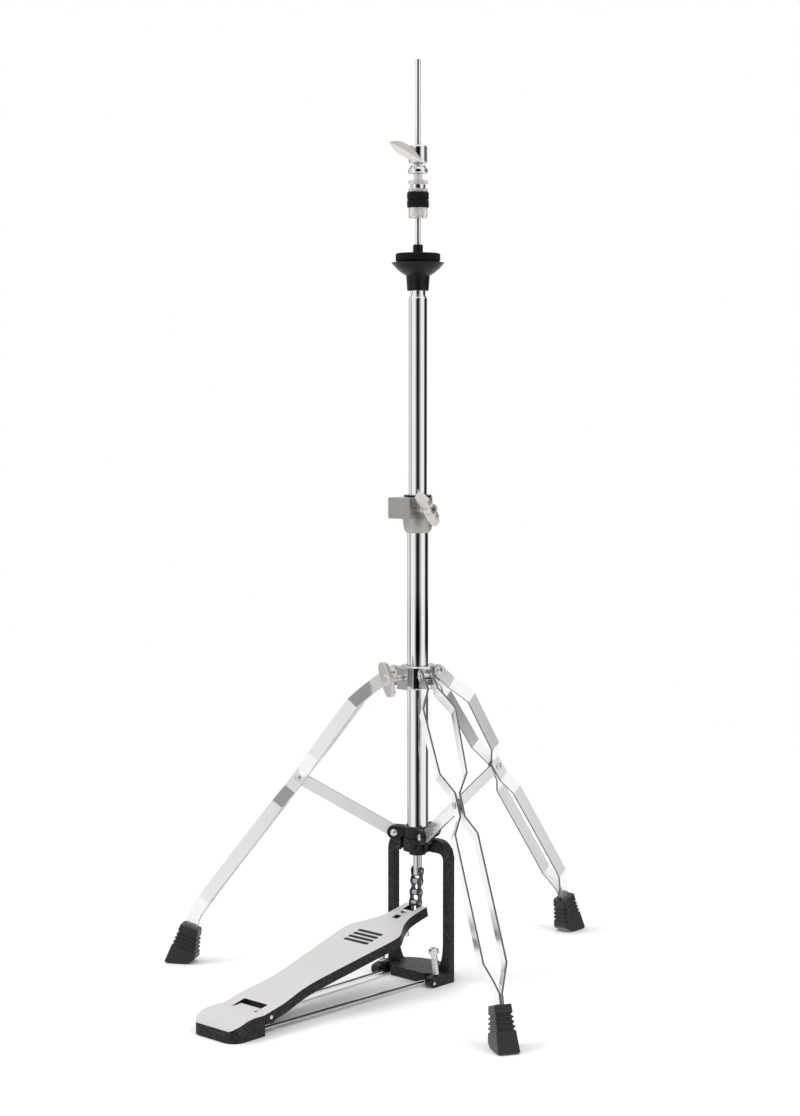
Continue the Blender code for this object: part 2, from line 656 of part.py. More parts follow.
def build_collar(materials, root):
    empty = pivot("leg_collar_axis", (0, 0, COLLAR_BOLT_Z), root)
    place("leg_collar", collar_mesh(), materials["chrome"], empty, (0, 0, COLLAR_BOLT_Z))
    shank = turned([(0.0, 13.3), (2.4, 13.3), (3.0, 14.2), (3.0, 38.0), (4.0, 39.5), (4.0, 46.5),
                    (6.0, 48.5), (6.8, 50.5), (6.8, 55.0), (5.2, 56.8), (0.0, 56.8)], SMALL_ROUND)
    wing = prism(wing_outline(42.0, 8.0, 5.5), 49.0, 56.0)
    bolt = joined(shank, wing)
    upright = Matrix.Rotation(math.radians(90), 4, "X") @ Matrix.Rotation(math.radians(111), 4, "Z")
    bolt = shifted(moved(bolt, upright), z=COLLAR_BOLT_Z)
    wing_axis = pivot("collar_bolt_axis", (0, -27, 0), empty)
    place("collar_wing_bolt", bolt, materials["nickel"], wing_axis, (0, -27, COLLAR_BOLT_Z))


# ---------------------------------------------------------------- height clamp, upper tube and seat

def clamp_mesh():
    """Die-cast clamp: a ring and cone round the tube with a solid bolt block in front."""
    low, middle, high = CLAMP_Z
    ring_part = turned([(0.0, low), *CLAMP_CONE, (0.0, high)])
    front = block((-CLAMP_BLOCK_X, CLAMP_BLOCK_X), (CLAMP_BLOCK_Y, -4.0), (middle, high - 0.1))
    y, z = CLAMP_BOLT
    barrel = shifted(turned_to(disc(CLAMP_BARREL_R + 0.4, -20, 9, 20), (1, 0, 0)), y=y, z=z)
    shank = shifted(turned_to(disc(3.9, -10, 25), (1, 0, 0)), y=y, z=z)
    return cut(joined(ring_part, front), disc(TUBE_R + 0.4, low - 5, high + 5, ROUND), barrel, shank)


def clamp_bolt_mesh():
    """Cross bolt: its thick barrel bears on the bush through the side of the bore."""
    profile = [(0.0, -15.6), (CLAMP_BARREL_R - 0.8, -15.6), (CLAMP_BARREL_R, -14.8), (CLAMP_BARREL_R, 8.4),
               (3.4, 8.4), (3.4, 40.5), (2.8, 41.2), (0.0, 41.2)]
    return shifted(turned_to(turned(profile, 20), (1, 0, 0)), y=CLAMP_BOLT[0], z=CLAMP_BOLT[1])


def clamp_nut_mesh():
    """Wing nut on the cross bolt: a crescent plate in line with the bolt, its tips swept back."""
    hub = turned([(0.0, 24.5), (4.75, 24.5), (4.75, 29.5), (6.9, 32.0), (6.9, 40.0), (6.0, 43.2),
                  (0.0, 43.2)], 18)
    half = [(0.0, 27.5), (12.0, 26.6), (20.5, 27.6), (24.0, 31.0), (22.6, 37.0), (13.0, 41.6), (0.0, 43.0)]
    outline = half + [(-x, z) for x, z in reversed(half[1:-1])]
    nut = cut(joined(hub, prism(outline, -3.5, 3.5, "XZ")), disc(3.9, 20, 50))
    lean = Matrix.Rotation(math.radians(90), 4, "Y") @ Matrix.Rotation(math.radians(39.7), 4, "Z")
    return shifted(moved(nut, lean), y=CLAMP_BOLT[0], z=CLAMP_BOLT[1])


def build_clamp(materials, root):
    high = CLAMP_Z[2]
    place("clamp_body", clamp_mesh(), materials["nickel"], root)
    bush = turned([(UPPER_R + 0.4, TUBE_TOP_Z + 0.4), (TUBE_R, TUBE_TOP_Z + 0.4), (TUBE_R, high + 0.4),
                   (15.6, high + 0.4), (16.2, high + 1.0), (16.2, high + 1.8), (15.6, high + 2.2),
                   (UPPER_R + 0.4, high + 2.2)])
    place("clamp_bushing", bush, materials["plastic"], root)
    place("clamp_bolt", clamp_bolt_mesh(), materials["nickel"], root)
    empty = pivot("clamp_nut_axis", (25, *CLAMP_BOLT), root)
    place("clamp_wing_nut", clamp_nut_mesh(), materials["nickel"], empty, (25, *CLAMP_BOLT))


def build_upper(materials, root):
    empty = pivot("upper_tube_axis", (0, 0, UPPER_FOOT_Z), root)
    origin = (0, 0, UPPER_FOOT_Z)
    neck_bore, wall = 4.2, 1.5
    tube = [(UPPER_BORE_R, UPPER_FOOT_Z), (UPPER_R, UPPER_FOOT_Z), (UPPER_R, SHOULDER_Z),
            (NECK_R + 0.6, SHOULDER_Z + 2.0), (NECK_R, SHOULDER_Z + 3.0), (NECK_R, NECK_TOP_Z),
            (neck_bore, NECK_TOP_Z), (neck_bore, NECK_TOP_Z - 4), (NECK_R - wall, NECK_TOP_Z - 4),
            (NECK_R - wall, SHOULDER_Z), (UPPER_BORE_R, SHOULDER_Z - 4)]
    place("upper_tube", turned(tube), materials["chrome"], empty, origin)
    rim_z, boss_z = 831.6, 832.3
    cup = [(9.4, 799.5), (12.45, 799.5), (13.65, 816.6), (14.6, 817.2), (19.6, 820.4), (24.6, 824.6),
           (28.4, 828.9), (30.4, rim_z - 0.6), (30.0, rim_z), (28.6, rim_z), (23.0, 828.4), (16.0, 828.0),
           (15.0, boss_z), (6.15, boss_z), (6.15, NECK_TOP_Z + 0.4), (9.4, NECK_TOP_Z + 0.4)]
    place("seat_cup", turned(cup, 26), materials["plastic"], empty, origin)
    felt = [(6.15, 832.7), (24.9, 832.7), (25.7, 833.4), (25.7, 841.2), (24.9, 842.0), (6.15, 842.0)]
    place("seat_felt", turned(felt, 26), materials["felt"], empty, origin)
    sleeve = [(3.7, NECK_TOP_Z + 0.5), (5.75, NECK_TOP_Z + 0.5), (5.75, 851.4), (5.2, 852.0), (3.7, 852.0)]
    place("seat_sleeve", turned(sleeve, 20), materials["plastic"], empty, origin)


# ---------------------------------------------------------------- pull rod and clutch

def rod_fitting_mesh():
    """Round fitting on the lower rod, cross-drilled for the chain's top pin."""
    low, high = FITTING_Z
    body = turned([(0.0, low), (3.9, low), (FITTING_R, low + 1.6), (FITTING_R, high - 0.6),
                   (FITTING_R - 0.6, high), (0.0, high)], 18)
    pin_hole = shifted(turned_to(disc(1.9, -8, 8, 10), (1, 0, 0)), z=CHAIN_TOP_Z)
    return cut(body, disc(ROD_R + 0.4, ROD_SEAT_Z, high + 4), pin_hole)


def build_rod(materials, root):
    empty = pivot("pull_rod_axis", (0, 0, CHAIN_TOP_Z), root)
    origin = (0, 0, CHAIN_TOP_Z)
    coupler_low, coupler_high = COUPLER_Z
    foot, bore, top = ROD_SEAT_Z + 0.4, ROD_R + 0.4, ROD_TOP_Z
    lower = [(0.0, foot), (ROD_R, foot), (ROD_R, coupler_low), (COUPLER_R, coupler_low + 1),
             (COUPLER_R, coupler_high), (bore, coupler_high), (bore, coupler_low + 3),
             (0.0, coupler_low + 3)]
    place("pull_rod_lower", turned(lower, 16), materials["chrome"], empty, origin)
    upper = [(0.0, coupler_low + 3.4), (ROD_R, coupler_low + 3.4), (ROD_R, top - 0.8), (ROD_R - 0.8, top),
             (0.0, top)]
    place("pull_rod_upper", turned(upper, 16), materials["chrome"], empty, origin)
    place("spring_retainer", ring(8.4, ROD_R + 0.4, 300.6, 306.0, 20), materials["zinc"], empty, origin)
    place("rod_end_fitting", rod_fitting_mesh(), materials["nickel"], empty, origin)
    return empty


def leaf_lobe(reach, width, root, tip, thickness):
    """One lobe of a leaf-shaped wing, along x. It bends from the root height to the tip height."""
    rings = []
    taper = ((0.0, 0.84), (0.2, 0.96), (0.4, 1.0), (0.6, 0.88), (0.8, 0.62), (0.93, 0.34), (1.0, 0.12))
    for share, size in taper:
        x, z = reach * share, root + (tip - root) * share ** 1.6
        half, low, high = width * size / 2, z - thickness / 2, z + thickness / 2
        rings.append([(x, -half, low), (x, half, low), (x, half, high), (x, -half, high)])
    return loft(rings)


def clutch_wing_mesh():
    """Wing bolt of the clutch: a short screw with a broad swept wing."""
    screw = turned([(0.0, 3.7), (2.4, 3.7), (3.0, 4.4), (3.0, 11.2), (5.4, 11.4), (5.4, 15.0), (4.4, 17.0),
                    (0.0, 17.0)], SMALL_ROUND)
    bolt = joined(screw, leaf_lobe(-28.0, 15.5, 14.5, 21.0, 3.0), leaf_lobe(22.0, 14.5, 14.5, 16.0, 3.0))
    forward = Matrix.Rotation(math.radians(90), 4, "X") @ Matrix.Rotation(math.radians(-24), 4, "Z")
    return shifted(moved(bolt, forward), z=CLUTCH_WING_Z)


def build_clutch(materials, rod_axis):
    low, step, high = CLUTCH_BODY_Z
    origin = (0, 0, low)
    empty = pivot("clutch_axis", (0, 0, low - CHAIN_TOP_Z), rod_axis)
    bore, stem = CLUTCH_BORE_R, CLUTCH_STEM_R
    body = turned([(NUT_BORE_R, low), (9.4, low), (10.6, low + 1.2), (10.6, high - 1.8), (9.2, high),
                   (bore, high), (bore, step), (NUT_BORE_R, step)])
    hole = shifted(turned_to(disc(3.4, 2.0, 14.0), (0, -1, 0)), z=CLUTCH_WING_Z)
    place("clutch_body", cut(body, hole), materials["chrome"], empty, origin)
    place("clutch_stem", ring(stem, bore, *CLUTCH_STEM_Z, 18), materials["chrome"], empty, origin)
    rim, waist = CLUTCH_NUT_R, 8.85
    foot, top = FLANGE_NUT_Z
    spool = [(NUT_BORE_R, foot), (rim, foot), (rim, foot + 3.0), (waist, foot + 3.3), (waist, foot + 8.1),
             (rim, foot + 8.5), (rim, top - 0.9), (rim - 0.7, top), (NUT_BORE_R, top)]
    place("clutch_flange_nut", turned(spool), materials["clear_plastic"], empty, origin)
    for name, heights in (("clutch_felt_upper", UPPER_FELT_Z), ("clutch_felt_lower", LOWER_FELT_Z)):
        place(name, ring(CLUTCH_FELT_R, NUT_BORE_R, *heights), materials["felt"], empty, origin)

    foot, top = LOCK_NUT_Z
    lock = [(NUT_BORE_R, foot), (10.2, foot), (rim, foot + 1.3), (rim, foot + 3.7), (9.6, foot + 5.3),
            (10.4, foot + 7.3), (9.4, top), (NUT_BORE_R, top)]
    lock_at = (0, 0, foot + 3.7)
    lock_axis = pivot("clutch_lock_nut_axis", (0, 0, lock_at[2] - low), empty)
    place("clutch_lock_nut", turned(lock), materials["chrome"], lock_axis, lock_at)
    foot, top = BOTTOM_NUT_Z
    bottom = [(NUT_BORE_R, foot), (9.8, foot), (10.9, foot + 1.1), (10.9, top), (NUT_BORE_R, top)]
    bottom_at = (0, 0, foot + 6.1)
    bottom_axis = pivot("clutch_bottom_nut_axis", (0, 0, bottom_at[2] - low), empty)
    place("clutch_bottom_nut", turned(bottom), materials["clear_plastic"], bottom_axis, bottom_at)
    wing_at = (0, -11, CLUTCH_WING_Z)
    wing_axis = pivot("clutch_wing_axis", (0, -11, CLUTCH_WING_Z - low), empty)
    place("clutch_wing_bolt", clutch_wing_mesh(), materials["nickel"], wing_axis, wing_at)


# ---------------------------------------------------------------- chain

def chain_frame(mesh, index):
    """Hang a link built downwards from the origin at its place in the taut chain."""
    length = CHAIN_PITCH * CHAIN_LINKS
    lean = math.asin(TOE_PIN_Y / length)
    shifted(mesh, z=-index * CHAIN_PITCH)
    moved(mesh, Matrix.Rotation(lean, 4, "X"))
    return shifted(mesh, z=CHAIN_TOP_Z)


def link_mesh(index):
    """Outer links carry the pins and inner links the rollers. The last one has the toe pin."""
    inner = index % 2 == 1
    plate_x = (4.1, 5.3) if inner else (5.6, 6.8)
    outline = [(v, -u) for u, v in stadium(CHAIN_PITCH, 4.3, 5)]
    plates = [prism(outline, *sorted((side * plate_x[0], side * plate_x[1])), "YZ") for side in (1, -1)]
    extra, holes = [], []
    for joint in (0, 1):
        z = -joint * CHAIN_PITCH
        last = index == CHAIN_LINKS - 1 and joint == 1
        radius, reach = (3.7, 4.4) if inner else (1.5, 7.4)
        extra.append(shifted(turned_to(disc(radius, -reach, reach, 12), (1, 0, 0)), z=z))
        if last:
            extra.append(shifted(turned_to(disc(1.75, -14.0, 14.0, 12), (1, 0, 0)), z=z))
        elif inner:
            holes.append(shifted(turned_to(disc(1.9, -8, 8, 12), (1, 0, 0)), z=z))
    link = joined(plates[0], plates[1], *extra)
    return chain_frame(cut(link, *holes) if holes else link, index)


def build_chain(materials, rod_axis):
    empty = pivot("chain_axis", (0, 0, 0), rod_axis)
    origin = (0, 0, CHAIN_TOP_Z)
    for index in range(CHAIN_LINKS):
        place(f"chain_link_{index + 1}", link_mesh(index), materials["chain_steel"], empty, origin)


# ---------------------------------------------------------------- pedal

def board_matrix():
    """From board axes (x across, y along from the hinge, z square to it) to the stand's frame."""
    return Matrix.Translation((0, *HINGE)) @ Matrix.Rotation(BOARD_TILT, 4, "X")


def board_frame(mesh):
    return moved(mesh, board_matrix())


def board_outline(inset=0.0, start=-100.0, end=400.0):
    """Plan of the footboard, both sides, optionally inset and shortened."""
    side = [(p.y - inset, p.x) for p in smooth_curve(BOARD_OUTLINE, 2) if start <= p.x <= end]
    return side + [(-x, u) for x, u in reversed(side)]


def footboard_mesh():
    """Cast board: a flat tread with a skirt, hollow underneath, hinge ears behind and a slotted toe."""
    top, bottom = BOARD_TOP_V, BOARD_TOP_V - BOARD_DEPTH
    tread = 4.0
    board = prism(board_outline(), bottom, top)
    ears = []
    for side in (1, -1):
        outline = arc((0, 0), 7.2, 150, 300, 6)
        outline += [(12.0, bottom + 1.0), (12.0, top - 2.0), (-6.0, top - 2.0)]
        ears.append(prism(outline, *sorted((side * 18.3, side * 32.6)), "YZ"))
    board = joined(board, *ears)

    pocket = prism(board_outline(4.0, 17.0, 206.0), bottom - 3, top - tread)
    notch = block((-18.3, 18.3), (-20.0, 10.3), (-20.0, 20.0))
    chain_slot = block((-7.9, 7.9), (BOARD_TOE_U - 15.5, BOARD_TOE_U + 5), (-20.0, 20.0))
    key_hole = block((-4.2, 4.2), (KEY_HOLE_U - 4.2, KEY_HOLE_U + 4.2), (-20.0, 20.0))
    screw_hole = shifted(disc(2.9, -20, 20), y=TOE_SCREW_U)
    hinge_hole = turned_to(disc(2.8, -50, 50), (1, 0, 0))
    toe = toe_pin_in_board()
    toe_hole = shifted(turned_to(disc(2.5, -14.6, 14.6), (1, 0, 0)), y=toe[0], z=toe[1])
    return board_frame(cut(board, pocket, notch, chain_slot, key_hole, screw_hole, hinge_hole, toe_hole))


def toe_pin_in_board():
    """Toe pin position along and square to the board."""
    length = CHAIN_PITCH * CHAIN_LINKS
    toe_z = CHAIN_TOP_Z - math.sqrt(length ** 2 - TOE_PIN_Y ** 2)
    toe = board_matrix().inverted() @ Vector((0, TOE_PIN_Y, toe_z))
    return toe.y, toe.z


def heel_mesh():
    """Heel plate: a block with a rolled front edge, hollow underneath, and a tongue for the hinge."""
    front, back = HEEL_Y
    half = HEEL_HALF_X
    side = [(front, 0.0), (front, 10.5), (front + 1.2, 13.0), (front + 6.0, 16.4), (front + 13.0, 19.6),
            (front + 21.0, 22.0), (front + 30.0, 23.0), (back, 23.0), (back, 0.0)]
    body = prism(side, -half, half, "YZ")
    corner = 15.0
    plan = [(half, back + 1)] + arc((half - corner, front + corner), corner, 0, -90, 6)
    plan += arc((corner - half, front + corner), corner, -90, -180, 6) + [(-half, back + 1)]
    body = combine(body, [prism(plan, -1, 30)], "INTERSECT")
    hinge_y, hinge_z = HINGE
    tip = hinge_y + 2.7
    tongue = [(back - 3, 11.5), (hinge_y, 11.5), (tip, 13.5), (tip, 23.0), (back - 3, 23.0)]
    tongue = prism(tongue, -TONGUE_HALF_X, TONGUE_HALF_X, "YZ")
    reach = TONGUE_HALF_X - 0.1
    knuckle = shifted(turned_to(disc(5.6, -reach, reach, 16), (1, 0, 0)), y=hinge_y, z=hinge_z)
    body = joined(body, tongue, knuckle)

    wall = 4.6
    pocket = block((wall - half, half - wall), (front + 9.0, back - wall), (-5.0, 9.4))
    rod_x, _, rod_z = ROD_HEEL
    reach = ROD_WIRE_R + 0.5
    slots = []
    for side in (1, -1):
        across = (side * rod_x - reach, side * rod_x + reach)
        slots.append(block(across, (back - wall - 3, back + 3), (-5.0, rod_z + reach)))
    hinge_hole = shifted(turned_to(disc(2.8, -50, 50), (1, 0, 0)), y=hinge_y, z=hinge_z)
    return cut(body, pocket, hinge_hole, *slots)


def radius_rod_mesh():
    """One bent wire: two side rods, the bend inside the heel and a hook through each ear."""
    ear_y, ear_z = EAR_PIVOT
    heel_x, heel_y, heel_z = ROD_HEEL
    bend = 5.0
    half = [(FRAME_HALF_X + 0.2, ear_y, ear_z), (ROD_EAR_X + bend, ear_y, ear_z),
            (ROD_EAR_X + bend * 0.3, ear_y - bend * 0.3, ear_z), (ROD_EAR_X, ear_y - bend, ear_z),
            (heel_x, heel_y + bend, heel_z), (heel_x - bend * 0.3, heel_y + bend * 0.3, heel_z),
            (heel_x - bend, heel_y, heel_z)]
    path = half + [(-x, y, z) for x, y, z in reversed(half)]
    return round_bar(path, ROD_WIRE_R, 10)


def toe_screw_mesh():
    """Screw through the toe, head on the tread."""
    top = BOARD_TOP_V
    profile = [(0.0, top - 30.0), (2.4, top - 30.0), (2.4, top + 0.4), (3.9, top + 0.4), (3.7, top + 0.9),
               (0.0, top + 1.2)]
    return board_frame(shifted(turned(profile, SMALL_ROUND), y=TOE_SCREW_U))


def toe_nut_mesh():
    """Wing nut under the toe."""
    top = BOARD_TOP_V - BOARD_DEPTH
    hub = [(0.0, top - 10.0), (4.4, top - 10.0), (6.0, top - 6.0), (6.0, top - 0.4), (0.0, top - 0.4)]
    hub = turned(hub, SMALL_ROUND)
    lengthwise = Matrix.Rotation(math.radians(90), 4, "Z")
    wing = moved(prism(wing_outline(33.0, 4.5, 3.4), -1.6, 1.6, "XZ"), lengthwise)
    nut = cut(joined(hub, shifted(wing, z=top - 7.0)), disc(2.8, top - 20, top + 5))
    return board_frame(shifted(nut, y=TOE_SCREW_U))


def build_pedal(materials, root):
    place("heel_plate", heel_mesh(), materials["silver_board"], root)
    place("radius_rod", radius_rod_mesh(), materials["chrome"], root)
    empty = pivot("pedal_axis", (0, *HINGE), root)
    origin = (0, *HINGE)
    place("footboard", footboard_mesh(), materials["silver_board"], empty, origin)
    pin = shifted(turned_to(disc(2.4, -32.9, 32.9, 16), (1, 0, 0)), y=HINGE[0], z=HINGE[1])
    place("hinge_pin", pin, materials["zinc"], root)
    place("toe_screw", toe_screw_mesh(), materials["zinc"], empty, origin)
    at = board_matrix() @ Vector((0, TOE_SCREW_U, 0))
    nut_axis = pivot("toe_nut_axis", at - Vector(origin), empty)
    place("toe_wing_nut", toe_nut_mesh(), materials["zinc"], nut_axis, at)


def main():
    for item in list(bpy.data.objects):
        bpy.data.objects.remove(item)
    materials = make_materials()
    root = pivot("stand_root", (0, 0, 0))
    build_base(materials, root)
    build_legs(materials, root)
    build_collar(materials, root)
    build_clamp(materials, root)
    build_upper(materials, root)
    rod_axis = build_rod(materials, root)
    build_clutch(materials, rod_axis)
    build_chain(materials, rod_axis)
    build_pedal(materials, root)


main()
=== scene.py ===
"""Looks of the hi-hat stand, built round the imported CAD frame.

Lengths are in millimetres until a finished mesh is scaled to metres. The camera, the lights and the floor
are placed in metres. The stand's axis is the z axis, and the pedal points along -y.
"""
import json
import math

import bmesh
import bpy
from mathutils import Matrix, Vector, noise


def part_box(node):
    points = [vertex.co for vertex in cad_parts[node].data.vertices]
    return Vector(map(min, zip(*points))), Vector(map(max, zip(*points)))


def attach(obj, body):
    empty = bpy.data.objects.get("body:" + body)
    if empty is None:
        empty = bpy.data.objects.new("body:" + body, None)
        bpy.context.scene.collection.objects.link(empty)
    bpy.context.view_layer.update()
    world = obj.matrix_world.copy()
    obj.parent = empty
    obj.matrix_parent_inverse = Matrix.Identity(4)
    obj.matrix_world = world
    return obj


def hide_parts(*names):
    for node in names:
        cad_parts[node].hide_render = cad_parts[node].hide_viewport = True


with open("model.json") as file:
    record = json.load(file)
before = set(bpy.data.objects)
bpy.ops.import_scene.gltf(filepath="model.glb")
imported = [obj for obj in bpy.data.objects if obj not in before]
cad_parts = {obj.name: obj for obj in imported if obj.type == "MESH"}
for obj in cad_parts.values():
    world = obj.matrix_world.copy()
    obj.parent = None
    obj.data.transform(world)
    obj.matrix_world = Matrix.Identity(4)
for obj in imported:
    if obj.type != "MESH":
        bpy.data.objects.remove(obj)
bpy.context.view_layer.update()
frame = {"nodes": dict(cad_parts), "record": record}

MM = 0.001
NODES = frame["nodes"]
RECORD = frame["record"]
BODY = {node: body for body, members in RECORD["behaviour"]["bodies"].items() for node in members}
SLOT = {row["node"]: row["material_slot"] for row in RECORD["subparts"]}
LEGS = {"rear": 90.0, "left": 210.0, "right": 330.0}


def foot(node):
    """Height of a CAD node's lowest point."""
    return round(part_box(node)[0].z / MM, 3)


def length(node):
    """A CAD node's extent along z."""
    low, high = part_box(node)
    return round((high.z - low.z) / MM, 3)


def centre(node):
    """The middle of a CAD node's box."""
    low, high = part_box(node)
    return (low + high) / (2 * MM)


def outer_radius(node):
    """Radius of a CAD node that is turned about the stand's axis."""
    return round(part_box(node)[1].x / MM, 3)


# Camera at the photograph's viewing angle, in metres and radians
CAMERA_AT = Vector((1.5971, -1.7754, 0.6802))
CAMERA_HEADING = math.atan2(-CAMERA_AT.y, -CAMERA_AT.x) + 0.0086
CAMERA_PITCH = 0.07835
LENS = 66.81

# Tubes and rods
TUBE_R = outer_radius("lower_tube")
TUBE_WALL = 1.5
UPPER_R = outer_radius("upper_tube")
UPPER_WALL = 1.2
NECK_R = 9.0
NECK_LENGTH = 20.5
ROD_R = outer_radius("pull_rod_upper")
COUPLER_R = outer_radius("pull_rod_lower")
COUPLER_BORE = 3.6

# Seat and clutch
SEAT_BORE = 6.15
SLEEVE_R = outer_radius("seat_sleeve")
FELT_R = outer_radius("clutch_felt_upper")
FLANGE_R = outer_radius("clutch_flange_nut")
NUT_BORE = 5.4
STEM_R = 5.0
STEM_PITCH = 1.0
WING_AXIS = foot("clutch_body") + 10.5
WING_TWIST = math.radians(-28)
# The clutch wing's sections: place along it, half width, and distance in front of the stand's axis
WING_SECTIONS = ((-28.0, 0.5, 21.0), (-25.0, 2.9, 19.8), (-20.0, 5.6, 18.2), (-14.0, 7.1, 16.6),
                 (-8.0, 7.4, 15.5), (-2.0, 7.0, 15.0), (4.0, 6.2, 15.0), (10.0, 4.8, 15.2),
                 (16.0, 2.9, 15.6), (21.5, 0.6, 16.0))

# Chain
LINKS = 4
CHAIN_TOP = 126.2
CHAIN_PITCH = 12.7
TOE_PIN_Y = -4.5
LINK_END_R = 4.3
LINK_WAIST_R = 2.9

# Pedal and spurs
BOARD_TILT = math.radians(12.79)
BOARD_TOP = 6.7
GRIP_BARS = 4
GRIP_FROM = 171.0
GRIP_STEP = 8.0
SPUR_R = 4.0
SPUR_PITCH = 3.0
SPUR_LEAN = math.atan(0.165)
SPUR_FOOT_Y = -12.8


# ---------------------------------------------------------------- node materials

def grey_ramp(tree, factor, table):
    """Grey tone looked up from (position, value) pairs."""
    node = tree.nodes.new("ShaderNodeValToRGB")
    stops = node.color_ramp.elements
    while len(stops) > 1:
        stops.remove(stops[-1])
    for index, (position, value) in enumerate(table):
        stop = stops[0] if index == 0 else stops.new(position)
        stop.position = position
        stop.color = (value, value, value, 1)
    tree.links.new(factor, node.inputs["Fac"])
    return node.outputs["Color"]


MATERIALS = {}


class Shader:
    """Builds a node material, whose name is its key in MATERIALS, without repeating the link calls."""

    def __init__(self, name):
        material = bpy.data.materials.new(name)
        material.use_nodes = True
        MATERIALS[name] = material
        self.tree = material.node_tree
        self.bsdf = self.tree.nodes["Principled BSDF"]
        coord = self.tree.nodes.new("ShaderNodeTexCoord")
        self.place = self.tree.nodes.new("ShaderNodeMapping")
        self.place.inputs["Scale"].default_value = (1 / MM, 1 / MM, 1 / MM)
        self.tree.links.new(coord.outputs["Object"], self.place.inputs["Vector"])

    def set(self, **values):
        """Fill the surface shader's inputs from sockets, colours or numbers."""
        for name, value in values.items():
            socket = self.bsdf.inputs[name.replace("_", " ")]
            if isinstance(value, bpy.types.NodeSocket):
                self.tree.links.new(value, socket)
            elif isinstance(value, (tuple, list)):
                socket.default_value = (*value, 1.0)
            else:
                socket.default_value = value

    def noise(self, scale, detail=3.0, roughness=0.55, stretch=(1, 1, 1)):
        """Noise whose scale is in cycles per millimetre."""
        vector = self.place.outputs["Vector"]
        if stretch != (1, 1, 1):
            node = self.tree.nodes.new("ShaderNodeMapping")
            node.inputs["Scale"].default_value = stretch
            self.tree.links.new(vector, node.inputs["Vector"])
            vector = node.outputs["Vector"]
        node = self.tree.nodes.new("ShaderNodeTexNoise")
        node.inputs["Scale"].default_value = scale
        node.inputs["Detail"].default_value = detail
        node.inputs["Roughness"].default_value = roughness
        self.tree.links.new(vector, node.inputs["Vector"])
        return node.outputs["Fac"]

    def cells(self, scale):
        """Distance to the nearest of scattered points, for a pebbled film."""
        node = self.tree.nodes.new("ShaderNodeTexVoronoi")
        node.inputs["Scale"].default_value = scale
        self.tree.links.new(self.place.outputs["Vector"], node.inputs["Vector"])
        return node.outputs["Distance"]

    def facing(self):
        """Zero where the surface faces the viewer, rising to one at its outline."""
        return self.tree.nodes.new("ShaderNodeLayerWeight").outputs["Facing"]

    def upward(self):
        """From zero where the surface faces straight down to one where it faces straight up."""
        geometry = self.tree.nodes.new("ShaderNodeNewGeometry")
        split = self.tree.nodes.new("ShaderNodeSeparateXYZ")
        self.tree.links.new(geometry.outputs["Normal"], split.inputs["Vector"])
        return self.ramp(split.outputs["Z"], 0.0, 1.0, -1.0, 1.0)

    def ramp(self, factor, low, high, start=0.0, end=1.0):
        """Carry a factor's range, start to end, over to low to high."""
        node = self.tree.nodes.new("ShaderNodeMapRange")
        node.inputs["From Min"].default_value = start
        node.inputs["From Max"].default_value = end
        node.inputs["To Min"].default_value = low
        node.inputs["To Max"].default_value = high
        self.tree.links.new(factor, node.inputs["Value"])
        return node.outputs["Result"]

    def mix(self, factor, low, high):
        """A colour between two, as the factor says."""
        node = self.tree.nodes.new("ShaderNodeMix")
        node.data_type = "RGBA"
        self.tree.links.new(factor, node.inputs["Factor"])
        node.inputs["A"].default_value = (*low, 1.0)
        node.inputs["B"].default_value = (*high, 1.0)
        return node.outputs["Result"]

    def bump(self, height, strength, distance_mm):
        """A normal roughened by a height factor."""
        node = self.tree.nodes.new("ShaderNodeBump")
        node.inputs["Strength"].default_value = strength
        node.inputs["Distance"].default_value = distance_mm * MM
        self.tree.links.new(height, node.inputs["Height"])
        return node.outputs["Normal"]


def metal(name, colour, roughness, grain=0.0, grain_scale=1.5, spread=0.25, **extra):
    """Bare or plated metal with slightly uneven polish."""
    shade = Shader(name)
    patch = shade.noise(0.06, 4.0)
    polish = shade.ramp(patch, roughness * (1 - spread), roughness * (1 + spread))
    dark = tuple(0.93 * c for c in colour)
    shade.set(Base_Color=shade.mix(patch, dark, colour), Metallic=1.0, Roughness=polish)
    if grain:
        shade.set(Normal=shade.bump(shade.noise(grain_scale, 4.0), grain, 0.03))
    shade.set(**extra)


def painted_reflection_chrome(name, colour, roughness, factor, table, metallic=1.0):
    """Chrome on a small curved piece with a painted reflection: its colour is darkened by a Shader factor
    where it would mirror dark surroundings.
    """
    shade = Shader(name)
    patch = shade.noise(0.06, 4.0)
    tone = grey_ramp(shade.tree, factor(shade), table)
    shade.set(Metallic=metallic, Roughness=shade.ramp(patch, roughness * 0.6, roughness * 1.4))
    # painted reflection: the tone table darkens the colour towards near-black where the surface would mirror
    # the dark cards
    shade.set(Base_Color=shade.mix(tone, (0.012, 0.012, 0.013), colour))


def powder_coat(name, colour, texture_mm, strength, roughness):
    """Textured powder coat: pebbled film whose high spots are a little shinier."""
    shade = Shader(name)
    pebble = shade.cells(1.0 / texture_mm)
    clump = shade.noise(0.45 / texture_mm, 4.0, 0.75)
    worn = tuple(9.0 * c for c in colour)
    shade.set(Base_Color=shade.mix(shade.ramp(clump, 0.0, 1.0, 0.50, 0.68), colour, worn))
    shade.set(Roughness=shade.ramp(pebble, roughness * 0.85, roughness * 1.15))
    shade.set(Normal=shade.bump(pebble, strength, 0.12), Specular_IOR_Level=0.22)


def moulding(name, colour, roughness, grain, **extra):
    """Moulded plastic or rubber with a fine die texture."""
    shade = Shader(name)
    patch = shade.noise(0.12, 3.0)
    fine = shade.noise(2.4, 3.0)
    pale = tuple(min(1.0, 1.35 * c) for c in colour)
    shade.set(Base_Color=shade.mix(patch, colour, pale))
    shade.set(Roughness=shade.ramp(fine, roughness * 0.85, roughness * 1.15))
    shade.set(Normal=shade.bump(fine, grain, 0.05))
    shade.set(**extra)


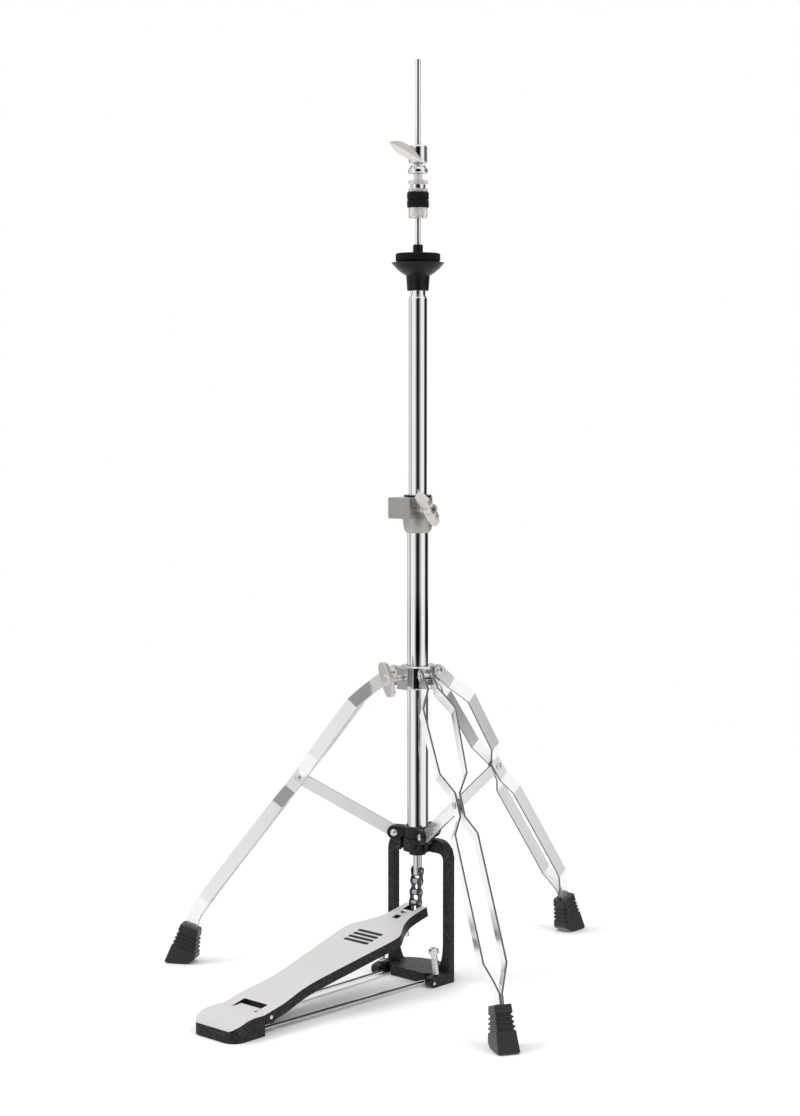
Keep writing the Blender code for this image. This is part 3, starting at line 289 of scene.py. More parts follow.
def felt_cloth(name):
    """Pressed wool: matted fibres, no shine."""
    shade = Shader(name)
    fibre = shade.noise(1.6, 6.0, 0.7, stretch=(1, 1, 0.45))
    tuft = shade.noise(0.45, 4.0)
    shade.set(Base_Color=shade.mix(fibre, (0.0015, 0.0015, 0.0016), (0.012, 0.012, 0.0125)))
    shade.set(Roughness=0.98, Specular_IOR_Level=0.12, Normal=shade.bump(fibre, 0.9, 0.35))
    shade.set(Sheen_Weight=0.06, Sheen_Roughness=shade.ramp(tuft, 0.4, 0.7))


def tread_coat(name):
    """Silver lacquer on the pedal's tread: fine sparkle, faint orange peel and scuffs along its length."""
    shade = Shader(name)
    flake = shade.noise(2.8, 3.0, 0.6)
    peel = shade.noise(0.35, 2.0)
    scuff = shade.noise(0.05, 4.0, stretch=(1.0, 0.2, 1.0))
    sparkle = shade.ramp(flake, 0.0, 1.0, 0.3, 0.7)
    shade.set(Base_Color=shade.mix(sparkle, (0.60, 0.585, 0.575), (0.70, 0.685, 0.675)))
    shade.set(Metallic=0.35, Roughness=shade.ramp(scuff, 0.40, 0.52))
    shade.set(Normal=shade.bump(peel, 0.25, 0.10))


# Tone tables of the painted reflections on the toned chromes, from where the factor is lowest to where it is
# highest
ROD_REFLECTION_TONES = ((0.0, 0.02), (0.04, 0.03), (0.07, 1.0), (0.55, 1.0), (0.75, 0.45))
BODY_REFLECTION_TONES = ((0.0, 0.03), (0.02, 0.05), (0.045, 0.6), (0.09, 1.0), (0.45, 0.95), (0.65, 0.3), (0.8, 0.06))
WIRE_REFLECTION_TONES = ((0.30, 0.42), (0.48, 0.90), (0.64, 0.85), (0.74, 0.05), (0.90, 0.05), (0.97, 0.75))
LEAF_REFLECTION_TONES = ((0.40, 1.0), (0.52, 0.95), (0.60, 0.78), (0.80, 0.55))


def build_materials():
    metal("chrome", (0.87, 0.87, 0.87), 0.04, spread=0.5)
    metal("strip_chrome", (0.97, 0.97, 0.975), 0.14, grain=0.05, grain_scale=0.25, spread=0.3, Metallic=0.80)
    # strip_edge is a painted reflection: dark metal on the strips' edges in place of the dark cards they would
    # mirror
    metal("strip_edge", (0.15, 0.15, 0.155), 0.22, grain=0.2, grain_scale=1.2)
    # These four materials carry painted reflections: their colour is darkened by the tone tables where they
    # would mirror dark cards
    painted_reflection_chrome("rod_chrome", (0.88, 0.88, 0.89), 0.06, Shader.facing, ROD_REFLECTION_TONES, 0.5)
    painted_reflection_chrome("body_chrome", (0.84, 0.84, 0.85), 0.08, Shader.facing, BODY_REFLECTION_TONES, 0.85)
    painted_reflection_chrome("wire_chrome", (0.86, 0.86, 0.87), 0.08, Shader.upward, WIRE_REFLECTION_TONES)
    painted_reflection_chrome("leaf_nickel", (0.80, 0.75, 0.72), 0.32, Shader.upward, LEAF_REFLECTION_TONES, 0.85)
    metal("nickel", (0.47, 0.46, 0.445), 0.40, grain=0.15, grain_scale=2.5)
    metal("wing_nickel", (0.74, 0.705, 0.675), 0.34, grain=0.03, grain_scale=1.0)
    metal("zinc", (0.70, 0.70, 0.705), 0.18, grain=0.2)
    metal("chain_steel", (0.115, 0.12, 0.13), 0.33, grain=0.3)
    metal("roller_steel", (0.50, 0.51, 0.53), 0.24, grain=0.15)
    metal("spring_steel", (0.45, 0.45, 0.46), 0.30, grain=0.2)
    powder_coat("black_cast", (0.0075, 0.0075, 0.008), 1.2, 0.9, 0.45)
    powder_coat("black_satin", (0.006, 0.006, 0.0065), 0.7, 0.25, 0.30)
    tread_coat("tread")
    felt_cloth("felt")
    moulding("plastic", (0.006, 0.0055, 0.0057), 0.30, 0.12, Specular_IOR_Level=0.2)
    moulding("clear_plastic", (0.86, 0.78, 0.76), 0.22, 0.08, Transmission_Weight=0.78, IOR=1.42)
    moulding("nylon", (0.74, 0.73, 0.69), 0.45, 0.2, Subsurface_Weight=0.2, Subsurface_Scale=0.002)
    moulding("rubber", (0.009, 0.0085, 0.0083), 0.36, 0.4, Specular_IOR_Level=0.5)
    moulding("mark", (0.005, 0.005, 0.005), 0.5, 0.2, Specular_IOR_Level=0.2)


# ---------------------------------------------------------------- mesh helpers

def add_detail(name, mesh, node, *materials):
    """Link a mesh as a piece that rides with a CAD node's body."""
    piece = bpy.data.objects.new(name, mesh)
    bpy.context.scene.collection.objects.link(piece)
    for material in materials:
        mesh.materials.append(MATERIALS[material])
    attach(piece, BODY[node])
    return piece


def add_look(mesh, node, *materials):
    """Link a mesh as the piece that stands for a CAD node."""
    piece = add_detail(node + "_look", mesh, node, *materials)
    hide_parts(node)
    return piece


def smooth(mesh, sharp_deg):
    """Shade a mesh smooth, except across edges sharper than the angle."""
    mesh.shade_smooth()
    mesh.set_sharp_from_angle(angle=math.radians(sharp_deg))


def to_mesh(bm, name, place=Matrix(), sharp_deg=35.0):
    """Weld a bmesh made in millimetres, put it in place and return it as a mesh in metres."""
    bmesh.ops.remove_doubles(bm, verts=bm.verts, dist=1e-4)
    bmesh.ops.recalc_face_normals(bm, faces=bm.faces)
    bm.transform(Matrix.Scale(MM, 4) @ place)
    mesh = bpy.data.meshes.new(name)
    bm.to_mesh(mesh)
    bm.free()
    smooth(mesh, sharp_deg)
    return mesh


def filleted(profile, radius, steps=3):
    """Round every real corner of a closed (radius, height) outline, leaving points on the axis alone."""
    rounded = []
    count = len(profile)
    for i in range(count):
        before, here, after = (Vector(profile[(i + k) % count]) for k in (-1, 0, 1))
        incoming, outgoing = here - before, after - here
        turn = incoming.angle(outgoing, 0.0)
        room = 0.45 * min(incoming.length, outgoing.length)
        if here.x < 1e-6 or turn < math.radians(12) or room < 0.02:
            rounded.append(tuple(here))
            continue
        trim = min(room, radius * math.tan(turn / 2))
        start = here - incoming.normalized() * trim
        end = here + outgoing.normalized() * trim
        for k in range(steps + 1):
            t = k / steps
            rounded.append(tuple(start * (1 - t) ** 2 + here * 2 * t * (1 - t) + end * t ** 2))
    return rounded


def held(profile, reach=0.8):
    """Add a point near each end of every long edge, so that smooth shading stays true between the corners."""
    dense = []
    for here, after in zip(profile, profile[1:] + profile[:1]):
        dense.append(tuple(here))
        run = Vector(after) - Vector(here)
        step = run.normalized() * reach
        if run.length > 4 * reach:
            dense += [tuple(Vector(here) + step), tuple(Vector(after) - step)]
    return dense


def lathe_into(bm, profile, segments=72, edge=0.35, matrix=Matrix()):
    """Turn a closed (radius, height) outline about the z axis into an existing bmesh."""
    outline = held(filleted(profile, edge) if edge else profile)
    turns = [2 * math.pi * k / segments for k in range(segments)]
    rows = []
    for radius, height in outline:
        if radius < 1e-6:
            rows.append([bm.verts.new((0, 0, height))])
            continue
        rows.append([bm.verts.new((radius * math.cos(a), radius * math.sin(a), height)) for a in turns])
    for lower, upper in zip(rows, rows[1:] + rows[:1]):
        for k in range(segments):
            j = (k + 1) % segments
            corners = [lower[k % len(lower)], lower[j % len(lower)],
                       upper[j % len(upper)], upper[k % len(upper)]]
            distinct = list(dict.fromkeys(corners))
            if len(distinct) > 2:
                bm.faces.new(distinct)
    bmesh.ops.transform(bm, matrix=matrix, verts=[vert for row in rows for vert in row])


def lathe(node, profile, material, segments=72, edge=0.35, place=None):
    """A turned piece that stands for its CAD node. Its outline's heights count from the node's foot."""
    bm = bmesh.new()
    lathe_into(bm, profile, segments, edge)
    if place is None:
        place = Matrix.Translation((0, 0, foot(node)))
    return add_look(to_mesh(bm, node + "_look", place), node, material)


def thread_into(bm, radius, low, high, pitch, depth, segments):
    """A threaded stud along z: the ridge climbs one pitch per turn and fades out at both ends."""
    per_pitch = 6
    steps = int((high - low) / pitch * per_pitch)
    rows = []
    for step in range(steps + 1):
        z = low + (high - low) * step / steps
        fade = min(1.0, step / per_pitch, (steps - step) / per_pitch)
        row = []
        for k in range(segments):
            phase = (z / pitch - k / segments) % 1.0
            ridge = abs(2 * phase - 1)
            r = radius - depth * (1 - min(1.0, 1.5 * ridge)) - depth * 0.5 * (1 - fade)
            angle = 2 * math.pi * k / segments
            row.append(bm.verts.new((r * math.cos(angle), r * math.sin(angle), z)))
        rows.append(row)
    loft_into(bm, rows)


def loft_into(bm, rows):
    """Skin a row of closed sections and cap both ends."""
    for lower, upper in zip(rows, rows[1:]):
        for k in range(len(lower)):
            j = (k + 1) % len(lower)
            bm.faces.new((lower[k], lower[j], upper[j], upper[k]))
    bm.faces.new(rows[0])
    bm.faces.new(rows[-1])


def prism_into(bm, outline, low, high, matrix=Matrix()):
    """Extrude a closed outline from low to high along z."""
    rows = [[bm.verts.new((x, y, z)) for x, y in outline] for z in (low, high)]
    loft_into(bm, rows)
    bmesh.ops.transform(bm, matrix=matrix, verts=rows[0] + rows[1])


def apply_modifiers(piece):
    """Bake a piece's modifiers into its mesh, keeping its materials."""
    graph = bpy.context.evaluated_depsgraph_get()
    mesh = bpy.data.meshes.new_from_object(piece.evaluated_get(graph))
    piece.modifiers.clear()
    piece.data = mesh


def clean_copy(node):
    """The CAD node's mesh with its triangles joined back into flat faces."""
    bm = bmesh.new()
    bm.from_mesh(NODES[node].data)
    bmesh.ops.remove_doubles(bm, verts=bm.verts, dist=1e-6)
    bmesh.ops.dissolve_limit(bm, angle_limit=math.radians(0.6), verts=bm.verts, edges=bm.edges)
    mesh = bpy.data.meshes.new(node + "_look")
    bm.to_mesh(mesh)
    bm.free()
    return mesh


def bevelled(node, width, segments, *materials, paint=None, flat=False):
    """The CAD shape with its edges broken, as a new piece. Flat keeps every facet's own tone."""
    mesh = clean_copy(node)
    if paint:
        paint(mesh)
    piece = add_look(mesh, node, *materials)
    bevel = piece.modifiers.new("edges", "BEVEL")
    bevel.width = width * MM
    bevel.segments = segments
    bevel.limit_method = "ANGLE"
    bevel.angle_limit = math.radians(30)
    if flat:
        apply_modifiers(piece)
        smooth(piece.data, 7.0)
        return
    smooth(mesh, 50.0)
    weighted = piece.modifiers.new("normals", "WEIGHTED_NORMAL")
    weighted.keep_sharp = True
    apply_modifiers(piece)


def cast(node, voxel, passes, material):
    """The CAD shape remeshed and relaxed, so that every edge is rounded like a casting's."""
    piece = add_look(clean_copy(node), node, material)
    remesh = piece.modifiers.new("voxels", "REMESH")
    remesh.mode = "VOXEL"
    remesh.voxel_size = voxel * MM
    relax = piece.modifiers.new("relax", "SMOOTH")
    relax.factor = 0.5
    relax.iterations = passes
    apply_modifiers(piece)
    smooth(piece.data, 60.0)


# ---------------------------------------------------------------- tubes, seat and clutch

def build_tubes():
    top = length("lower_tube")
    bore = TUBE_R - TUBE_WALL
    lathe("lower_tube", [(bore, 0), (TUBE_R, 0), (TUBE_R, top), (bore, top)], "chrome", 96)

    top = length("upper_tube")
    shoulder = top - NECK_LENGTH
    bore, neck_bore, rod_hole = UPPER_R - UPPER_WALL, NECK_R - 1.5, 4.2
    lathe("upper_tube", [(bore, 0), (UPPER_R, 0), (UPPER_R, shoulder - 1), (UPPER_R - 0.3, shoulder),
                         (NECK_R + 0.6, shoulder + 2), (NECK_R, shoulder + 3), (NECK_R, top), (rod_hole, top),
                         (rod_hole, top - 4), (neck_bore, top - 4), (neck_bore, shoulder),
                         (bore, shoulder - 4)], "chrome", 96)

    top = length("clamp_bushing")
    bore, lip = UPPER_R + 0.4, outer_radius("clamp_bushing")
    lathe("clamp_bushing", [(bore, 0), (TUBE_R, 0), (TUBE_R, top - 1.8), (lip - 0.4, top - 1.8),
                            (lip, top - 1.3), (lip, top - 0.5), (lip - 0.4, top), (bore, top)],
          "plastic", 64, 0.2)


def build_pull_rod():
    """The lower rod with the coupler on its top, the upper rod, and the fitting that holds the chain."""
    top = length("pull_rod_lower")
    lathe("pull_rod_lower", [(0, 0), (ROD_R, 0), (ROD_R, top - 26), (COUPLER_R, top - 25), (COUPLER_R, top),
                             (COUPLER_BORE, top), (COUPLER_BORE, top - 23), (0, top - 23)], "rod_chrome", 48)
    top = length("pull_rod_upper")
    lathe("pull_rod_upper", [(0, 0), (ROD_R, 0), (ROD_R, top - 0.9), (ROD_R - 0.9, top), (0, top)],
          "rod_chrome", 48)
    bore = ROD_R + 0.4
    fitting = [(0, 0), (3.9, 0), (5.2, 1.6), (5.2, 31.4), (4.6, 32.0), (bore, 32.0), (bore, 20.0), (0, 20.0)]
    lathe("rod_end_fitting", fitting, "zinc", 48, 0.4)


def subdivided(profile, spacing):
    """Add points along an outline's long edges."""
    dense = []
    for here, after in zip(profile, profile[1:] + profile[:1]):
        here, after = Vector(here), Vector(after)
        count = max(1, int((after - here).length / spacing))
        dense += [tuple(here.lerp(after, k / count)) for k in range(count)]
    return dense


def fuzz(piece, depth_mm):
    """Rough up a felt's surface, inwards only, so that its edges look cut from matted wool."""
    for vertex in piece.data.vertices:
        point = vertex.co / MM
        lump = 0.5 + 0.5 * noise.noise(point * 0.9)
        hair = 0.5 + 0.5 * noise.noise(point * 2.7)
        vertex.co -= vertex.normal * (0.6 * lump + 0.4 * hair) * depth_mm * MM


def build_seat():
    cup = [(9.4, 0), (11.9, 0), (12.45, 0.7), (13.65, 17.1), (14.6, 17.7), (19.6, 20.9), (24.6, 25.1),
           (28.4, 29.4), (30.4, 31.5), (30.0, 32.1), (28.6, 32.1), (23.0, 28.9), (16.0, 28.5), (15.0, 32.8),
           (SEAT_BORE, 32.8), (SEAT_BORE, 12.9), (9.4, 12.9)]
    lathe("seat_cup", cup, "plastic", 96, 1.2)
    felt = [(SEAT_BORE, 0), (24.6, 0), (25.7, 1.1), (25.7, 8.1), (24.6, 9.3), (SEAT_BORE, 9.3)]
    fuzz(lathe("seat_felt", subdivided(felt, 0.8), "felt", 120, 0), 0.22)
    sleeve = [(3.7, 0), (SLEEVE_R, 0), (SLEEVE_R, 38.7), (SLEEVE_R - 0.65, 39.5), (3.7, 39.5)]
    lathe("seat_sleeve", sleeve, "plastic", 48, 0.3)


def build_clutch():
    """The clutch's turned parts, from its body down to the nut that holds the lower felt."""
    body = [(3.6, 7.4), (5.4, 7.4), (5.4, 0), (9.4, 0), (10.6, 1.2), (10.6, 18.0), (9.4, 19.6), (7.4, 20.0),
            (3.6, 20.0)]
    lathe("clutch_body", body, "body_chrome", 72, 0.5)

    bm = bmesh.new()
    low = foot("clutch_stem")
    thread_into(bm, STEM_R, low, low + length("clutch_stem"), STEM_PITCH, 0.45, 40)
    add_look(to_mesh(bm, "clutch_stem_look", sharp_deg=50.0), "clutch_stem", "rod_chrome")

    lock = [(NUT_BORE, 0), (10.4, 0), (11.3, 1.1), (11.3, 4.3), (8.4, 7.9), (8.4, 9.1), (NUT_BORE, 9.1)]
    lathe("clutch_lock_nut", lock, "body_chrome", 72, 0.4)

    waist, waist_low, waist_high = 8.85, 3.5, 7.9
    spool = [(NUT_BORE, 0), (FLANGE_R, 0), (FLANGE_R, 2.8), (waist, waist_low), (waist, waist_high),
             (FLANGE_R, 8.7), (FLANGE_R, 11.7), (FLANGE_R - 0.9, 12.8), (NUT_BORE, 12.8)]
    lathe("clutch_flange_nut", spool, "clear_plastic", 72, 0.5)
    bm = bmesh.new()
    lathe_into(bm, [(waist - 0.45, waist_low - 0.2), (waist + 0.1, waist_low), (waist + 0.1, waist_high),
                    (waist - 0.45, waist_high + 0.2)], 72, 0.1)
    lift = Matrix.Translation((0, 0, foot("clutch_flange_nut")))
    band = to_mesh(bm, "clutch_flange_band", lift)
    add_detail("clutch_flange_band", band, "clutch_flange_nut", "body_chrome")

    for node in ("clutch_felt_upper", "clutch_felt_lower"):
        top, worn = length(node), FELT_R - 0.75
        felt = [(NUT_BORE, 0), (worn, 0), (FELT_R, 0.8), (FELT_R, top - 0.8), (worn, top), (NUT_BORE, top)]
        fuzz(lathe(node, subdivided(felt, 0.6), "felt", 96, 0), 0.3)

    bottom = [(NUT_BORE, 0), (9.6, 0), (10.9, 1.3), (10.9, 11.6), (NUT_BORE, 11.6)]
    lathe("clutch_bottom_nut", bottom, "clear_plastic", 72, 0.5)


def build_clutch_wing():
    """The clutch's wing bolt: a leaf with a ridge along it and pointed, bent-up tips, on a short screw."""
    bm = bmesh.new()
    screw = [(0, 3.7), (2.4, 3.7), (3.0, 4.4), (3.0, 11.2), (5.4, 11.4), (5.4, 14.0), (0, 14.6)]
    lathe_into(bm, screw, 32, 0.3)
    rows = []
    for x, half, lift in WING_SECTIONS:
        section = [(-half, lift), (0.15 * half, lift + 0.5 * half), (half, lift), (0.15 * half, lift - 1.6)]
        rows.append([bm.verts.new((x, y, z)) for y, z in section])
    loft_into(bm, rows)
    forward = Matrix.Rotation(math.radians(90), 4, "X") @ Matrix.Rotation(WING_TWIST, 4, "Z")
    mesh = to_mesh(bm, "clutch_wing_bolt_look", Matrix.Translation((0, 0, WING_AXIS)) @ forward, 24.0)
    add_look(mesh, "clutch_wing_bolt", "leaf_nickel")


# ---------------------------------------------------------------- castings, legs and feet

def build_castings():
    bevelled("clamp_body", 0.9, 3, "nickel")
    # The clamp bolt lies along x: a thick barrel, then a thinner shank with a socket in its end
    bolt = [(0, -15.6), (6.7, -15.6), (7.5, -14.8), (7.5, 8.4), (3.75, 8.4), (3.75, 42.4), (3.4, 42.9),
            (2.0, 42.9), (2.0, 38.5), (0, 38.5)]
    axis = centre("clamp_bolt")
    across = Matrix.Translation((0, axis.y, axis.z)) @ Matrix.Rotation(math.radians(90), 4, "Y")
    lathe("clamp_bolt", bolt, "nickel", 40, 0.3, across)
    cast("clamp_wing_nut", 0.4, 16, "wing_nickel")
    bevelled("leg_collar", 0.9, 3, "body_chrome")
    cast("collar_wing_bolt", 0.4, 12, "wing_nickel")
    cast("base_casting", 0.6, 4, "black_satin")
    bevelled("pedal_frame", 1.3, 3, "black_cast")


def paint_edge_reflection(azimuth):
    """Give a strip's narrow faces, which lie square to its leg's tangent, the second of its materials: a
    painted reflection, dark metal where the chrome edges would mirror dark cards.
    """
    tangent = Vector((-math.sin(math.radians(azimuth)), math.cos(math.radians(azimuth)), 0))

    def paint(mesh):
        for face in mesh.polygons:
            face.material_index = 1 if abs(face.normal.dot(tangent)) < 0.5 else 0
    return paint


def build_legs():
    for leg, azimuth in LEGS.items():
        # the strips' and braces' narrow faces get the painted reflection of strip_edge
        paint = paint_edge_reflection(azimuth)
        for strand in "ab":
            bevelled(f"leg_strip_{leg}_{strand}", 0.5, 3, "strip_chrome", "strip_edge", paint=paint, flat=True)
        bevelled(f"brace_{leg}", 0.4, 2, "strip_chrome", "strip_edge", paint=paint)
        bevelled(f"foot_{leg}", 0.8, 3, "rubber")
        for pin in ("brace_pin", "mid_rivet", "collar_pin"):
            bevelled(f"{pin}_{leg}", 0.35, 2, "zinc")


# ---------------------------------------------------------------- chain and pedal

def chain_matrix(index):
    """Place a link built down the -z axis from its top joint, in the chain's own lean."""
    lean = Matrix.Rotation(math.asin(TOE_PIN_Y / (LINKS * CHAIN_PITCH)), 4, "X")
    return Matrix.Translation((0, 0, CHAIN_TOP)) @ lean @ Matrix.Translation((0, 0, -index * CHAIN_PITCH))


def plate_outline():
    """Closed outline of a waisted link plate in (y, z), hung from the origin."""
    half = []
    for k in range(9):
        angle = math.radians(90 * k / 8)
        half.append((LINK_END_R * math.sin(angle), LINK_END_R * math.cos(angle)))
    for k in range(1, 8):
        t = k / 7
        narrowing = (LINK_WAIST_R - LINK_END_R) * (0.5 - 0.5 * math.cos(math.pi * t))
        half.append((LINK_END_R + narrowing, -CHAIN_PITCH / 2 * t))
    lower = [(y, -CHAIN_PITCH - z) for y, z in reversed(half[:-1])]
    right = half + lower
    left = [(-y, z) for y, z in reversed(right[1:-1])]
    return right + left


def add_roller(bm, place):
    """An inner link's roller on its bush."""
    lathe_into(bm, [(1.9, -4.2), (3.7, -4.2), (3.7, 4.2), (1.9, 4.2)], 28, 0.3, place)
    lathe_into(bm, [(1.9, -5.8), (2.4, -5.8), (2.4, 5.8), (1.9, 5.8)], 24, 0.1, place)


def add_rivet(bm, place):
    """An outer link's rivet, with its ends peened over."""
    rivet = [(0, -7.7), (1.0, -7.65), (1.55, -7.2), (1.55, 7.2), (1.0, 7.65), (0, 7.7)]
    lathe_into(bm, rivet, 24, 0, place)


def add_toe_pin(bm, place):
    """The long pin that joins the last link to the footboard."""
    lathe_into(bm, [(0, -14.0), (1.75, -14.0), (1.75, 14.0), (0, 14.0)], 24, 0.4, place)


def build_chain():
    """Four links, outer and inner in turn: two waisted plates each, with dark plates and bright rollers."""
    across = Matrix.Rotation(math.radians(90), 4, "Y")
    upright = Matrix(((0, 0, 1, 0), (1, 0, 0, 0), (0, 1, 0, 0), (0, 0, 0, 1)))
    for index in range(LINKS):
        inner = index % 2 == 1
        near, far = (4.1, 5.3) if inner else (5.6, 6.8)
        bm = bmesh.new()
        prism_into(bm, plate_outline(), near, far, upright)
        prism_into(bm, plate_outline(), -far, -near, upright)
        rims = [edge for edge in bm.edges if edge.calc_face_angle(0) > 1.2]
        bmesh.ops.bevel(bm, geom=rims, offset=0.22, segments=2, affect="EDGES", clamp_overlap=True)
        plates = set(bm.faces)
        for joint in (0, 1):
            place = Matrix.Translation((0, 0, -joint * CHAIN_PITCH)) @ across
            (add_roller if inner else add_rivet)(bm, place)
            if index == LINKS - 1 and joint == 1:
                add_toe_pin(bm, place)
        for face in bm.faces:
            face.material_index = 0 if face in plates else 1
        node = f"chain_link_{index + 1}"
        add_look(to_mesh(bm, node + "_look", chain_matrix(index), 40.0), node, "chain_steel", "roller_steel")


def rounded_bar(half_x, half_y, radius, steps=4):
    """Outline of a small bar with rounded corners."""
    points = []
    for sign_x, sign_y, start in ((1, 1, 0), (-1, 1, 90), (-1, -1, 180), (1, -1, 270)):
        for k in range(steps + 1):
            angle = math.radians(start + 90 * k / steps)
            points.append((sign_x * (half_x - radius) + radius * math.cos(angle),
                           sign_y * (half_y - radius) + radius * math.sin(angle)))
    return points


def paint_tread(up, height):
    """Give the faces that look up, above a height in that direction, the second of the piece's finishes."""
    def paint(mesh):
        for face in mesh.polygons:
            lifted = face.center.dot(up) / MM
            face.material_index = 1 if face.normal.dot(up) > 0.5 and lifted > height else 0
    return paint


def build_pedal():
    hinge = centre("hinge_pin")
    board = Matrix.Translation((0, hinge.y, hinge.z)) @ Matrix.Rotation(BOARD_TILT, 4, "X")
    board_up = board.to_3x3() @ Vector((0, 0, 1))
    board_tread = (board @ Vector((0, 0, BOARD_TOP))).dot(board_up) - 0.3
    bevelled("footboard", 0.8, 3, "black_cast", "tread", paint=paint_tread(board_up, board_tread))
    bevelled("heel_plate", 1.0, 3, "black_cast", "tread", paint=paint_tread(Vector((0, 0, 1)), 12.0))
    bm = bmesh.new()
    for bar in range(GRIP_BARS):
        along = GRIP_FROM + bar * GRIP_STEP
        outline = [(x, y + along) for x, y in rounded_bar(18.5, 2.3, 1.2)]
        prism_into(bm, outline, BOARD_TOP - 0.2, BOARD_TOP + 0.25)
    add_detail("footboard_grip_bars", to_mesh(bm, "footboard_grip_bars", board), "footboard", "mark")
    bevelled("radius_rod", 0.2, 2, "wire_chrome")
    bevelled("hinge_pin", 0.4, 2, "zinc")
    bevelled("toe_screw", 0.3, 2, "zinc")
    cast("toe_wing_nut", 0.35, 4, "zinc")


def build_spurs():
    """Screw-in floor spurs: a pan head with a recess over a threaded, pointed shank."""
    core = SPUR_R - 0.6
    screw = [(0, 1.2), (1.2, 1.6), (core, 5.0), (core, 38.0), (5.9, 39.5), (5.9, 44.0), (4.6, 45.7),
             (2.3, 45.8), (2.0, 42.8), (0, 42.6)]
    for node in ("spur_left", "spur_right"):
        bm = bmesh.new()
        lathe_into(bm, screw, 36, 0.4)
        thread_into(bm, SPUR_R, 5.0, 35.4, SPUR_PITCH, 1.3, 36)
        place = Matrix.Translation((centre(node).x, SPUR_FOOT_Y, 0)) @ Matrix.Rotation(SPUR_LEAN, 4, "X")
        add_look(to_mesh(bm, node + "_look", place, 45.0), node, "zinc")


def paint_hidden_parts():
    """The CAD nodes that still show, all inside the tubes, get the node materials of their record slots."""
    for name, node in NODES.items():
        if not node.hide_render:
            for entry in node.material_slots:
                entry.material = MATERIALS[SLOT[name]]


# ---------------------------------------------------------------- studio

# Studio cards round the stand: degrees from the camera's direction, anticlockwise from above, and brightness
LEFT_CARDS = ((-180, 1.0), (-138, 1.0), (-131, 0.12), (-125, 0.12), (-118, 1.0), (-100, 1.0), (-92, 0.22),
              (-86, 0.22), (-76, 1.0), (-38, 1.0), (-28, 0.75), (-19, 0.22), (-10, 0.012), (2, 0.010),
              (12, 0.05), (21, 0.26), (32, 0.68), (44, 1.0))
LOW_CARDS = LEFT_CARDS + ((90, 1.0), (99, 0.75), (104, 0.10), (108, 0.02), (132, 0.02), (141, 0.5),
                          (152, 1.0), (180, 1.0))
LEVEL_CARDS = LEFT_CARDS + ((74, 1.0), (81, 0.5), (86, 0.05), (92, 0.02), (128, 0.02), (136, 0.5),
                            (146, 1.0), (180, 1.0))
HIGH_CARDS = ((-180, 1.0), (-142, 1.0), (-134, 0.3), (-120, 0.3), (-112, 1.0), (-16, 1.0), (-6, 0.16),
              (24, 0.16), (34, 1.0), (98, 1.0), (106, 0.08), (140, 0.08), (150, 1.0), (180, 1.0))
# Each row fills a band of directions, given by the heights on a unit sphere where it starts, is whole,
# starts to fade and is gone
CARD_ROWS = ((LOW_CARDS, (-0.34, -0.21, -0.11, -0.09)),
             (LEVEL_CARDS, (-0.135, -0.12, 0.15, 0.25)),
             (HIGH_CARDS, (0.14, 0.22, 0.62, 0.74)))

FLOOR_TONE = 0.985
FLOOR_R = 2.6
FLOOR_FADE = (0.45, 2.2)


def build_camera(scene):
    data = bpy.data.cameras.new("camera")
    data.lens = LENS
    data.clip_start = 0.05
    camera = bpy.data.objects.new("camera", data)
    scene.collection.objects.link(camera)
    forward = Vector((math.cos(CAMERA_HEADING) * math.cos(CAMERA_PITCH),
                      math.sin(CAMERA_HEADING) * math.cos(CAMERA_PITCH), -math.sin(CAMERA_PITCH)))
    camera.location = CAMERA_AT
    camera.rotation_mode = "QUATERNION"
    camera.rotation_quaternion = forward.to_track_quat("-Z", "Y")
    scene.camera = camera


def add_light(scene, name, at, size, power):
    """A round soft light, aimed at the stand's middle, which the chrome doesn't mirror."""
    data = bpy.data.lights.new(name, "AREA")
    data.shape = "DISK"
    data.size = size
    data.energy = power
    light = bpy.data.objects.new(name, data)
    light.location = at
    light.rotation_mode = "QUATERNION"
    light.rotation_quaternion = (Vector((0, 0, 0.5)) - at).to_track_quat("-Z", "Y")
    light.visible_glossy = False
    scene.collection.objects.link(light)


def math_node(tree, operation, first, second):
    """A math node whose inputs are sockets or numbers."""
    node = tree.nodes.new("ShaderNodeMath")
    node.operation = operation
    for slot, value in enumerate((first, second)):
        if isinstance(value, bpy.types.NodeSocket):
            tree.links.new(value, node.inputs[slot])
        else:
            node.inputs[slot].default_value = value
    return node.outputs["Value"]


def mix_node(tree, factor, first, second, blend="MIX"):
    """A colour mix whose inputs are sockets, numbers or colours."""
    node = tree.nodes.new("ShaderNodeMix")
    node.data_type = "RGBA"
    node.blend_type = blend
    for slot, value in (("Factor", factor), ("A", first), ("B", second)):
        if isinstance(value, bpy.types.NodeSocket):
            tree.links.new(value, node.inputs[slot])
        else:
            node.inputs[slot].default_value = value
    return node.outputs["Result"]


def fade_node(tree, value, start, end):
    """A smooth step from zero at the start to one at the end."""
    node = tree.nodes.new("ShaderNodeMapRange")
    node.interpolation_type = "SMOOTHSTEP"
    node.inputs["From Min"].default_value = start
    node.inputs["From Max"].default_value = end
    tree.links.new(value, node.inputs["Value"])
    return node.outputs["Result"]


